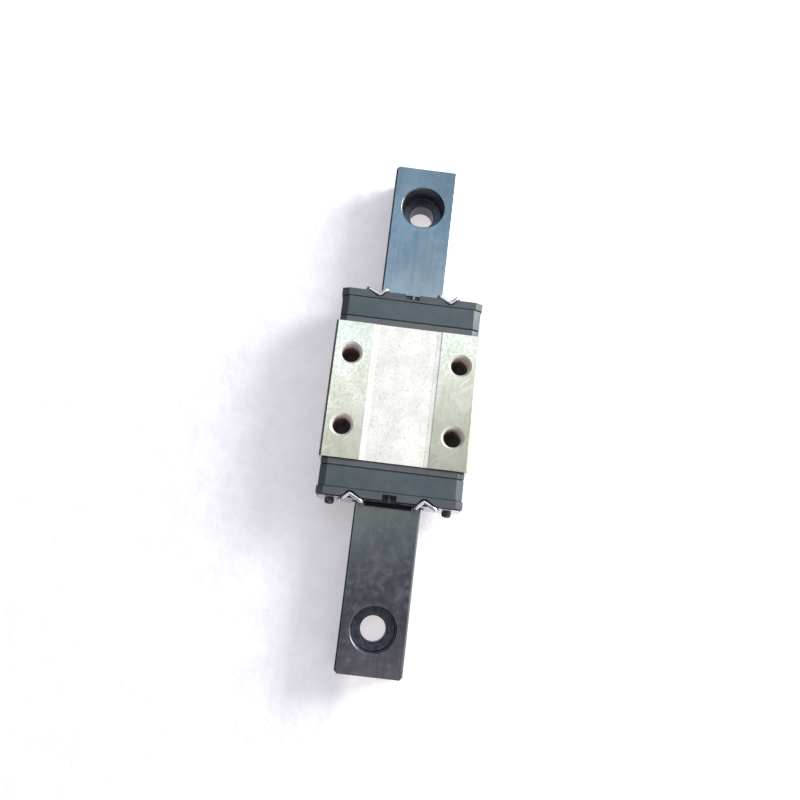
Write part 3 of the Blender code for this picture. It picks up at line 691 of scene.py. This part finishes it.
def counterbore_profile():
    """Bore and counterbore in one profile, with a chamfered mouth, turning marks and a rounded ledge."""
    top = RAIL_HEIGHT
    floor = RAIL_HEIGHT - COUNTERBORE_DEPTH
    mouth = COUNTERBORE_RADIUS + COUNTERBORE_CHAMFER
    wall = COUNTERBORE_RADIUS
    wall_marks = []
    for index in range(WALL_MARKS):
        height = top - (index + 1) * WALL_MARK_SPACING
        wall_marks += [(wall, height + 0.09), (wall + 0.02, height), (wall, height - 0.09)]
    ledge = [(wall, floor + 0.12), (wall - 0.12, floor)]
    for index in range(LEDGE_MARKS):
        radius = wall - 0.35 - index * LEDGE_MARK_SPACING
        ledge += [(radius + 0.06, floor), (radius, floor - 0.015), (radius - 0.06, floor)]
    inner = [(HOLE_RADIUS + 0.08, floor), (HOLE_RADIUS, floor - 0.08)]
    foot = [(HOLE_RADIUS, 0.15), (HOLE_RADIUS + 0.15, 0), (HOLE_RADIUS + 0.15, -1), (0, -1)]
    lip = [
        (mouth + 0.08, top + 1),
        (mouth + 0.08, top + 0.01),
        (mouth, top - 0.02),
        (wall + 0.02, top - COUNTERBORE_CHAMFER),
    ]
    return [(0, top + 1), *lip, *wall_marks, *ledge, *inner, *foot]


def in_rail_hole(place):
    """True for a face inside one of the screw holes, in millimetres from the rail's middle."""
    nearest = min(math.hypot(place.x - along, place.y) for along in HOLES_X)
    return nearest < COUNTERBORE_RADIUS + COUNTERBORE_CHAMFER and 0.1 < place.z < RAIL_HEIGHT - 0.01


def make_rail():
    rail = prism("rail", rail_outline(), RAIL_LOW.x, RAIL_HIGH.x, ALONG_X)
    for end in (-1, 1):
        for side in (-1, 1):
            cut(rail, rail_corner_cutter(end, side))
    round_edges(rail, RAIL_EDGE_ROUND)
    for along in HOLES_X:
        cut(rail, turned("counterbore", counterbore_profile(), 96, UPRIGHT, (along, 0, 0)))
    rail.data.materials.clear()
    for material in (rail_finish(), bore_finish()):
        rail.data.materials.append(material)
    # faces inside the counterbores take the bore finish, with its painted shade
    for face in rail.data.polygons:
        face.material_index = 1 if in_rail_hole(face.center / MM) else 0
    finish_piece(rail, "rail", "rail", None)


# Carriage block


def thread_cutter(end, side):
    """A tapped hole: a helical thread below a countersunk mouth, ending in the drill's point."""
    turns = 64
    per_pitch = 8
    top = BLOCK_TOP
    rows = int((THREAD_DEPTH + 0.5) / THREAD_PITCH * per_pitch)
    shape = bmesh.new()
    rings = [[shape.verts.new((0, 0, (top + 0.5) * MM))]]
    for row in range(rows + 1):
        height = top + 0.5 - row * THREAD_PITCH / per_pitch
        ring = []
        for i in range(turns):
            phase = (height / THREAD_PITCH - i / turns) % 1
            crest = min(1, max(0, 1.25 - abs(phase - 0.5) * 3))
            fade = min(1, max(0, (top - THREAD_COUNTERSINK - height) / 0.4))
            radius = THREAD_MINOR_RADIUS + (THREAD_MAJOR_RADIUS - THREAD_MINOR_RADIUS) * crest * fade
            radius = max(radius, THREAD_MOUTH_RADIUS + min(height - top, THREAD_COUNTERSINK))
            angle = 2 * math.pi * i / turns
            place = Vector((radius * math.cos(angle), radius * math.sin(angle), height))
            ring.append(shape.verts.new(place * MM))
        rings.append(ring)
    rings.append([shape.verts.new((0, 0, (top - THREAD_DEPTH - DRILL_POINT_DEPTH) * MM))])
    skin(shape, rings)
    shape.transform(Matrix.Translation((end * THREAD_X * MM, side * THREAD_Y * MM, 0)))
    bmesh.ops.recalc_face_normals(shape, faces=shape.faces)
    return object_from_bmesh("thread", shape)


def mark_block_faces(block):
    """Gives the recess and the threads their own finish, by where each face lies."""
    for face in block.data.polygons:
        place = face.center / MM
        from_thread = math.hypot(abs(place.x) - THREAD_X, abs(place.y) - THREAD_Y)
        # thread faces take the thread finish, with its painted shade at depth
        if from_thread < THREAD_MAJOR_RADIUS and place.z < BLOCK_TOP - THREAD_COUNTERSINK:
            face.material_index = 2
        elif from_thread < THREAD_MOUTH_RADIUS and place.z < BLOCK_TOP - 0.01:
            face.material_index = 3
        elif abs(place.y) < RECESS_HALF_WIDTH - 0.03 and place.z > BLOCK_TOP - RECESS_DEPTH - 0.02:
            face.material_index = 1
        else:
            face.material_index = 0


def make_block():
    block = prism("block", block_outline(), -BLOCK_END, BLOCK_END, ALONG_X)
    round_edges(block, BLOCK_EDGE_ROUND)
    reach = BLOCK_END + 1
    for side in (-1, 1):
        bore = [(0, reach), (CHANNEL_RADIUS, reach), (CHANNEL_RADIUS, -reach), (0, -reach)]
        cut(block, turned("return_bore", bore, 48, ALONG_X, (0, side * RETURN_Y, BALL_HEIGHT)))
        for end in (-1, 1):
            cut(block, thread_cutter(end, side))
            radius = SCREW_SHANK_RADIUS + CLEARANCE
            hole = [(0, 3), (radius, 3), (radius, -3), (0, -3)]
            cut(block, turned("screw_hole", hole, 24, ALONG_X, (end * BLOCK_END, side * SCREW_Y, SCREW_Z)))
    block.data.materials.clear()
    for material in (steel_finish(), recess_finish(), thread_finish(), countersink_finish()):
        block.data.materials.append(material)
    mark_block_faces(block)
    block.data.transform(FAR_END)
    finish_piece(block, "carriage_block", "carriage", None)


# End stack: return plate, cap, seal and scraper plate, modelled at the far end about the carriage's centre


def far_box(node):
    """A far-end node's box measured from the carriage's centre."""
    low, high = box_mm(node + "_far")
    shift = Vector((CARRIAGE_X, 0, 0))
    return low - shift, high - shift


def cut_round_pair(piece, radius, across, height, start, end):
    for side in (-1, 1):
        profile = [(0, end), (radius, end), (radius, start), (0, start)]
        cut(piece, turned("hole", profile, 32, ALONG_X, (0, side * across, height)))


def cut_ball_turns(piece):
    """Half of each ring-shaped channel that takes the balls from the loaded row to the return bore."""
    for side in (-1, 1):
        middle_y = side * (LOADED_Y + RETURN_Y) / 2
        bpy.ops.mesh.primitive_torus_add(
            location=(BLOCK_END * MM, middle_y * MM, BALL_HEIGHT * MM),
            major_radius=(RETURN_Y - LOADED_Y) / 2 * MM,
            minor_radius=CHANNEL_RADIUS * MM,
            major_segments=40,
            minor_segments=20,
        )
        cut(piece, bpy.context.active_object)


def make_return_plate():
    low, high = far_box("ball_return_plate")
    plate = prism("plate", cap_outline(low, high), low.x, high.x, ALONG_X)
    round_edges(plate, PLATE_EDGE_ROUND)
    cut_ball_turns(plate)
    cut_round_pair(plate, SCREW_SHANK_RADIUS + CLEARANCE, SCREW_Y, SCREW_Z, low.x - 1, high.x + 1)
    dark, light = (0.07, 0.078, 0.087), (0.085, 0.094, 0.102)
    finish = plastic_finish("return_plate_plastic", dark, light, 0.36, 0.003, 0.3)
    finish_both_ends(plate, "ball_return_plate", finish)


def make_end_cap():
    low, high = far_box("end_cap")
    cap = prism("cap", cap_outline(low, high), low.x + CAP_GROOVE_WIDTH, high.x, ALONG_X)
    round_edges(cap, CAP_EDGE_ROUND)
    collar = prism("collar", cap_outline(low, high, CAP_GROOVE_DEPTH), low.x, low.x + 1, ALONG_X)
    cut(cap, collar, "UNION")
    cut_ball_turns(cap)
    cut_round_pair(cap, SCREW_SHANK_RADIUS + CLEARANCE, SCREW_Y, SCREW_Z, low.x - 1, high.x + 1)
    cut(cap, grease_bore())
    finish = plastic_finish("cap_plastic", (0.046, 0.062, 0.071), (0.06, 0.078, 0.087), 0.4, 0.003, 0.5)
    finish_both_ends(cap, "end_cap", finish)


def grease_bore():
    low, high = far_box("grease_plug")
    radius = PLUG_RADIUS + CLEARANCE
    profile = [(0, high.x + 1), (radius, high.x + 1), (radius, low.x - 0.1), (0, low.x - 0.1)]
    return turned("grease_bore", profile, 32, ALONG_X, (0, 0, PLUG_Z))


def hook_notch_cutter(side, face, top):
    """A V-shaped notch in the seal's upper edge, point towards the block, for the hook of the wire."""
    root = face - NOTCH_DEPTH
    mouth = face + 0.3
    tip = HOOK_TIP_Y[0 if side > 0 else 1]
    inner_foot, outer_foot = HOOK_FEET_Y
    half = [
        (root, tip - NOTCH_SPACE),
        (mouth, inner_foot - NOTCH_SPACE),
        (mouth, outer_foot + 0.27),
        (root, tip + NOTCH_SPACE),
    ]
    notch = [(x, side * y) for x, y in half]
    return prism("notch", notch, HOOK_Z - NOTCH_BELOW_HOOK, top + 1, UPRIGHT)


def seal_finishes():
    """The seal's rubber, and the same rubber drawn near black on the bar over the rail: black rubber with
    painted shade.
    """
    body = plastic_finish("seal_rubber", (0.05, 0.062, 0.072), (0.064, 0.077, 0.086), 0.45, 0.004, 0.4)
    # near-black colour and weak reflection: black rubber, darkened further as painted shade
    wiper = plastic_finish("wiper_rubber_painted_shade", (0.004, 0.005, 0.008), (0.008, 0.01, 0.014), 0.6, 0.004, 0.2)
    wiper.node_tree.nodes["Principled BSDF"].inputs["Specular IOR Level"].default_value = 0.15
    return body, wiper


def make_end_seal():
    low, high = far_box("end_seal")
    face = low.x + SEAL_THICKNESS
    seal = prism("seal", seal_outline(low, high), low.x, face, ALONG_X)
    cut(seal, prism("wiper", wiper_outline(), face - 0.2, high.x, ALONG_X), "UNION")
    half_slot = GREASE_SLOT_HALF_WIDTH
    outer = face + 1
    inner = GREASE_SLOT_INNER
    slot = [(inner, -half_slot), (outer, -half_slot), (outer, half_slot), (inner, half_slot)]
    cut(seal, prism("slot", slot, GREASE_SLOT_FLOOR, high.z + 1, UPRIGHT))
    for side in (-1, 1):
        cut(seal, hook_notch_cutter(side, face, high.z))
    start, end = low.x - 1, high.x + 1
    cut_round_pair(seal, WIRE_RADIUS + WIRE_EXIT_SPACE, WIRE_EXIT_Y, WIRE_EXIT_Z, start, end)
    round_edges(seal, SEAL_EDGE_ROUND)
    cut_round_pair(seal, SCREW_SHANK_RADIUS + CLEARANCE, SCREW_Y, SCREW_Z, start, end)
    cut_round_pair(seal, WIRE_TUCK_HOLE_RADIUS, WIRE_TUCK_Y, WIRE_TUCK_Z, start, end)
    cut(seal, grease_bore())
    seal.data.materials.clear()
    for material in seal_finishes():
        seal.data.materials.append(material)
    # faces of the bar in front of the seal take the near-black rubber, partly painted shade
    for part_face in seal.data.polygons:
        part_face.material_index = 1 if part_face.center.x / MM > face + 0.01 else 0
    finish_both_ends(seal, "end_seal", None)


def make_scraper():
    low, high = far_box("scraper_plate")
    plate = prism("scraper", scraper_outline(low, high), low.x, high.x, ALONG_X)
    round_edges(plate, SCRAPER_EDGE_ROUND, 2)
    start, end = low.x - 1, high.x + 1
    cut_round_pair(plate, SCREW_SHANK_RADIUS + CLEARANCE, SCREW_Y, SCREW_Z, start, end)
    cut_round_pair(plate, WIRE_TUCK_HOLE_RADIUS, WIRE_TUCK_Y, WIRE_TUCK_Z, start, end)
    plate.data.materials.clear()
    plate.data.materials.append(scraper_finish())
    plate.data.materials.append(sheared_finish())
    for face in plate.data.polygons:
        face.material_index = 0 if abs(face.normal.x) > 0.9 else 1
    finish_both_ends(plate, "scraper_plate", None)


# Small pieces


def screw_profile(length):
    """Round head, shank with thread ridges and a chamfered tip, from the axis above to the axis below."""
    round_over = 0.36
    profile = [
        (0, SCREW_HEAD_HEIGHT),
        *arc((SCREW_HEAD_RADIUS - round_over, SCREW_HEAD_HEIGHT - round_over), round_over, 90, 0, 6),
        (SCREW_HEAD_RADIUS, 0.06),
        (SCREW_HEAD_RADIUS - 0.06, 0),
        (SCREW_SHANK_RADIUS, 0),
    ]
    height = -length + 0.4 + SCREW_THREAD_PITCH * 12
    while height > -length + 0.2:
        root_height = height - SCREW_THREAD_PITCH / 2
        profile += [(SCREW_SHANK_RADIUS, height), (SCREW_SHANK_RADIUS - 0.1, root_height)]
        height -= SCREW_THREAD_PITCH
    return profile + [(SCREW_SHANK_RADIUS - 0.15, -length), (0, -length)]


def make_cap_screws():
    finish = screw_finish()
    for end, end_name in ((1, "far"), (-1, "near")):
        for side, side_name in ((1, "left"), (-1, "right")):
            node = f"cap_screw_{end_name}_{side_name}"
            low, high = box_mm(node)
            head_face = high.x - CARRIAGE_X if end > 0 else CARRIAGE_X - low.x
            seat = head_face - SCREW_HEAD_HEIGHT
            length = high.x - low.x - SCREW_HEAD_HEIGHT
            screw = turned("screw", screw_profile(length), 48, UPRIGHT, (0, 0, 0))
            socket = arc((0, 0), SCREW_SOCKET_RADIUS, 0, 300, 5)
            cut(screw, prism("socket", socket, SCREW_SOCKET_FLOOR, 2, UPRIGHT))
            screw.data.transform(Matrix.Rotation(math.radians(17 * side + 40 * end), 4, "Z"))
            turn = Matrix.Rotation(math.pi if end < 0 else 0, 4, "Z")
            place = Matrix.Translation((seat * MM, end * side * SCREW_Y * MM, SCREW_Z * MM))
            screw.data.transform(FAR_END @ turn @ place @ ALONG_X)
            finish_piece(screw, node, "carriage", finish)


def make_grease_plug():
    low, high = far_box("grease_plug")
    length = high.x - low.x
    profile = [
        (0, length - 0.34),
        (0.08, length - 0.32),
        (0.12, length - 0.25),
        (0.13, length - 0.03),
        (0.16, length),
        (PLUG_RADIUS - 0.12, length),
        *arc((PLUG_RADIUS - 0.12, length - 0.12), 0.12, 90, 0, 5),
        (PLUG_RADIUS, 0),
        (0, 0),
    ]
    plug = turned("plug", profile, 48, ALONG_X, (low.x, 0, PLUG_Z))
    finish = plastic_finish("plug_plastic", (0.03, 0.032, 0.036), (0.06, 0.063, 0.07), 0.34, 0.003, 0.3)
    finish_both_ends(plug, "grease_plug", finish)


def wire_half_path(tip_y):
    """Half of the left wire: along the block, over the rail's edge, out, round the hook and back in."""
    low, high = far_box("scraper_plate")
    front = high.x + CLEARANCE + WIRE_RADIUS
    inner_foot, outer_foot = HOOK_FEET_Y
    deep = front - HOOK_DEPTH
    bends = [
        (10.2, WIRE_RUN_Y, WIRE_RUN_Z),
        (11.0, WIRE_RUN_Y + 0.03, 5.6),
        (11.7, WIRE_RUN_Y + 0.05, 6.2),
        (12.2, 4.8, 6.75),
        (12.7, 4.35, WIRE_EXIT_Z),
        (13.2, 4.0, WIRE_EXIT_Z),
        (13.7, WIRE_EXIT_Y, WIRE_EXIT_Z),
        (14.4, WIRE_EXIT_Y - 0.05, WIRE_EXIT_Z),
        (front - 0.08, inner_foot + 0.08, WIRE_EXIT_Z + 0.2),
        (front, inner_foot - 0.02, 7.8),
        (front, inner_foot, 8.8),
        (front - 0.08, inner_foot + 0.08, HOOK_FOOT_Z),
        (deep, tip_y - 0.16, HOOK_Z),
        (deep - 0.05, tip_y, HOOK_Z),
        (deep, tip_y + 0.16, HOOK_Z),
        (front - 0.08, outer_foot - 0.1, HOOK_FOOT_Z),
        (front, outer_foot, 8.8),
        (front, outer_foot + 0.08, 7.8),
        (front - 0.08, WIRE_TUCK_Y - 0.04, WIRE_TUCK_Z + 0.2),
        (14.4, WIRE_TUCK_Y, WIRE_TUCK_Z),
        (13.7, WIRE_TUCK_Y, WIRE_TUCK_Z),
    ]
    return smooth_path(bends, 5)


def make_wires():
    far_tip, near_tip = HOOK_TIP_Y
    path = [Vector((-p.x, p.y, p.z)) for p in reversed(wire_half_path(near_tip))] + wire_half_path(far_tip)
    curve = bpy.data.curves.new("wire", "CURVE")
    curve.dimensions = "3D"
    curve.bevel_depth = WIRE_RADIUS * MM
    curve.bevel_resolution = 6
    curve.use_fill_caps = True
    spline = curve.splines.new("POLY")
    spline.points.add(len(path) - 1)
    for point, place in zip(spline.points, path):
        point.co = (*(place * MM), 1)
    guide = bpy.data.objects.new("wire", curve)
    bpy.context.scene.collection.objects.link(guide)
    bpy.context.view_layer.update()
    graph = bpy.context.evaluated_depsgraph_get()
    mesh = bpy.data.meshes.new_from_object(guide.evaluated_get(graph))
    bpy.data.objects.remove(guide, do_unlink=True)
    shape = bmesh.new()
    shape.from_mesh(mesh)
    bmesh.ops.remove_doubles(shape, verts=shape.verts, dist=1e-7)
    wire = object_from_bmesh("wire", shape)
    finish = wire_finish()
    for side_name, place in (("left", FAR_END), ("right", NEAR_END)):
        node = "retainer_wire_" + side_name
        finish_piece(moved_copy(wire, place), node, "carriage", finish)
    bpy.data.objects.remove(wire, do_unlink=True)


def balls_at(name, places):
    shape = bmesh.new()
    radius = BALL_RADIUS * MM
    for place in places:
        where = Matrix.Translation(Vector(place) * MM)
        bmesh.ops.create_uvsphere(shape, u_segments=32, v_segments=16, radius=radius, matrix=where)
    return object_from_bmesh(name, shape)


def make_balls():
    """One loaded row, one return row and a pair in each turn, on each side of the rail."""
    finish = ball_finish()
    turn_radius = (RETURN_Y - LOADED_Y) / 2
    path_length = 4 * BLOCK_END + 2 * math.pi * turn_radius
    pitch = path_length / (2 * ROW_BALLS + 2 * TURN_BALLS)
    half_row = (ROW_BALLS - 1) / 2 * pitch
    row_x = [CARRIAGE_X - half_row + i * pitch for i in range(ROW_BALLS)]
    first_angle = (pitch - (BLOCK_END - half_row)) / turn_radius
    for side, side_name in ((1, "left"), (-1, "right")):
        for across, kind in ((LOADED_Y, "loaded"), (RETURN_Y, "return")):
            balls = balls_at("row", [(x, side * across, BALL_HEIGHT) for x in row_x])
            finish_piece(balls, f"{kind}_balls_{side_name}", "carriage", finish)
        for end, end_name in ((1, "far"), (-1, "near")):
            reach = BLOCK_END + turn_radius * math.sin(first_angle)
            offset = turn_radius * math.cos(first_angle)
            middle = (LOADED_Y + RETURN_Y) / 2
            pair_x = CARRIAGE_X + end * reach
            pair = [(pair_x, side * (middle + s * offset), BALL_HEIGHT) for s in (-1, 1)]
            balls = balls_at("pair", pair)
            finish_piece(balls, f"turning_balls_{end_name}_{side_name}", "carriage", finish)


# Setting

FLOOR_SIZE = 3.0
FLOOR_GAP = -0.02  # height of the floor, just under the rail
FLOOR_GLOW = 0.37  # the floor's own light, which keeps its shaded places pale
FLOOR_GLOW_UNDER_RAIL = 0.6  # stronger there, so that the floor seen through the screw holes is pale too

CAMERA_PLACE = (-24.83, 2.21, 125.64)
CAMERA_AIM = (0.323, 0.116, 10.0)
CAMERA_ROLL = 6.742  # degrees that the picture's right side turns up towards +X
CAMERA_LENS = 39.535

SOFTBOX_PLACE = (0.2, -0.35, 0.24)
SOFTBOX_AIM = (0, 0, 0.005)
SOFTBOX_WIDTH = 0.24
SOFTBOX_POWER = 2.8

# The room's colour by the angle from straight up towards +X, in radians
OVERHEAD_COLOURS = (
    (-0.35, (0.6, 0.55, 0.55)),
    (-0.12, (0.74, 0.64, 0.68)),
    (-0.07, (0.18, 0.155, 0.24)),
    (0.0, (0.05, 0.05, 0.1)),
    (0.03, (0.19, 0.22, 0.25)),
    (0.055, (0.5, 0.58, 0.6)),
    (0.1, (0.88, 0.94, 0.9)),
    (0.14, (0.37, 0.34, 0.17)),
    (0.2, (0.5, 0.56, 0.46)),
    (0.27, (4.1, 4.05, 4.2)),
    (0.32, (1.15, 1.55, 1.85)),
    (0.38, (0.76, 1.32, 1.8)),
    (0.44, (0.74, 1.22, 1.58)),
    (0.5, (0.7, 0.93, 1.12)),
    (0.65, (0.7, 0.93, 1.12)),
)
OVERHEAD_LEAN = 0.34  # how far that pattern turns towards +Y
OVERHEAD_START = 0.72  # direction's Z where the overhead pattern begins
OVERHEAD_FULL = 0.86

# The room's colour low down by the direction's Y, from the right to the left
ACROSS_COLOURS = (
    (-1.0, (0.95, 0.95, 0.95)),
    (-0.6, (1.1, 1.1, 1.12)),
    (-0.15, (0.9, 0.9, 0.93)),
    (0.1, (0.45, 0.45, 0.5)),
    (0.3, (0.1, 0.1, 0.13)),
    (1.0, (0.1, 0.1, 0.13)),
)


def make_floor():
    bpy.ops.mesh.primitive_plane_add(size=FLOOR_SIZE, location=(0, 0, FLOOR_GAP * MM))
    floor = bpy.context.active_object
    floor.name = "floor"
    finish = Finish("pale_floor", (0.86, 0.86, 0.88), 0.7, 0.0)
    mottle = finish.noise((0.25, 0.25, 0.25), 6, 0.7)
    clouded = finish.fitted(mottle, 0.35, 0.7)
    finish.set_colour(finish.colours(clouded, (0.58, 0.58, 0.62), (0.68, 0.68, 0.7)))
    finish.raise_by(finish.noise((0.8, 0.8, 0.8), 4, 0.6), 0.15)
    finish.shader.inputs["Specular IOR Level"].default_value = 0.25
    finish.shader.inputs["Emission Color"].default_value = (1.0, 0.93, 0.97, 1)
    off_axis = finish.combined(finish.coordinate("Y"), 0, "ABSOLUTE")
    glow = finish.fitted(off_axis, RAIL_HALF_WIDTH / 3, RAIL_HALF_WIDTH, FLOOR_GLOW_UNDER_RAIL, FLOOR_GLOW)
    finish.tree.links.new(glow, finish.shader.inputs["Emission Strength"])
    floor.data.materials.append(finish.material)


def make_world():
    """A room that differs by direction, which is what the metal reflects.

    Low down it is bright on the right and dark on the left. Overhead there is a dark patch, then towards
    +X a narrow bright band and a blue area. Its colours were set for the camera's view; from other sides
    the band or the dark patch can fill a flat top face.
    """
    world = bpy.data.worlds.new("room")
    bpy.context.scene.world = world
    world.use_nodes = True
    tree = world.node_tree
    background = tree.nodes["Background"]
    place = tree.nodes.new("ShaderNodeTexCoord")
    split = tree.nodes.new("ShaderNodeSeparateXYZ")
    tree.links.new(place.outputs["Generated"], split.inputs["Vector"])
    tilt = tree.nodes.new("ShaderNodeMath")
    tilt.operation = "ARCTAN2"
    lean = tree.nodes.new("ShaderNodeMath")
    lean.operation = "MULTIPLY_ADD"
    tree.links.new(split.outputs["Y"], lean.inputs[0])
    lean.inputs[1].default_value = OVERHEAD_LEAN
    tree.links.new(split.outputs["X"], lean.inputs[2])
    tree.links.new(lean.outputs[0], tilt.inputs[0])
    tree.links.new(split.outputs["Z"], tilt.inputs[1])
    overhead = ramp(tree, tilt.outputs[0], OVERHEAD_COLOURS)
    across = ramp(tree, split.outputs["Y"], ACROSS_COLOURS)
    height = tree.nodes.new("ShaderNodeMapRange")
    height.interpolation_type = "SMOOTHSTEP"
    height.inputs["From Min"].default_value = OVERHEAD_START
    height.inputs["From Max"].default_value = OVERHEAD_FULL
    tree.links.new(split.outputs["Z"], height.inputs["Value"])
    mix = tree.nodes.new("ShaderNodeMix")
    mix.data_type = "RGBA"
    tree.links.new(height.outputs["Result"], mix.inputs["Factor"])
    tree.links.new(across, mix.inputs[6])
    tree.links.new(overhead, mix.inputs[7])
    tree.links.new(mix.outputs[2], background.inputs["Color"])
    background.inputs["Strength"].default_value = 1.0


def ramp(tree, value, stops):
    """Colour by value, through stops in rising order."""
    low, high = stops[0][0], stops[-1][0]
    fit = tree.nodes.new("ShaderNodeMapRange")
    fit.inputs["From Min"].default_value = low
    fit.inputs["From Max"].default_value = high
    tree.links.new(value, fit.inputs["Value"])
    node = tree.nodes.new("ShaderNodeValToRGB")
    elements = node.color_ramp.elements
    while len(elements) > 1:
        elements.remove(elements[-1])
    for index, (at, colour) in enumerate(stops):
        place = (at - low) / (high - low)
        element = elements[0] if index == 0 else elements.new(place)
        element.position = place
        element.color = (*colour, 1)
    tree.links.new(fit.outputs["Result"], node.inputs["Fac"])
    return node.outputs["Color"]


def make_softbox():
    data = bpy.data.lights.new("softbox", "AREA")
    data.shape = "DISK"
    data.size = SOFTBOX_WIDTH
    data.energy = SOFTBOX_POWER
    data.color = (1.0, 0.99, 0.97)
    light = bpy.data.objects.new("softbox", data)
    light.location = SOFTBOX_PLACE
    away = Vector(SOFTBOX_PLACE) - Vector(SOFTBOX_AIM)
    light.rotation_euler = away.to_track_quat("Z", "Y").to_euler()
    bpy.context.scene.collection.objects.link(light)


def make_camera():
    """Above the near half of the rail, looking down and a little towards its far end."""
    data = bpy.data.cameras.new("camera")
    data.lens = CAMERA_LENS
    data.sensor_width = 36
    data.clip_start = 0.001
    data.clip_end = 10
    place = Vector(CAMERA_PLACE)
    back = (place - Vector(CAMERA_AIM)).normalized()
    along = Vector((1, 0, 0))
    up = (along - along.dot(back) * back).normalized()
    upright = Matrix((up.cross(back), up, back)).transposed()
    rolled = Matrix.Rotation(math.radians(CAMERA_ROLL), 3, back) @ upright
    camera = bpy.data.objects.new("camera", data)
    camera.matrix_world = Matrix.Translation(place * MM) @ rolled.to_4x4()
    bpy.context.scene.collection.objects.link(camera)
    bpy.context.scene.camera = camera


make_camera()
make_rail()
make_block()
make_return_plate()
make_end_cap()
make_end_seal()
make_scraper()
make_cap_screws()
make_grease_plug()
make_wires()
make_balls()
make_floor()
make_world()
make_softbox()
bpy.context.scene.view_settings.view_transform = "Standard"
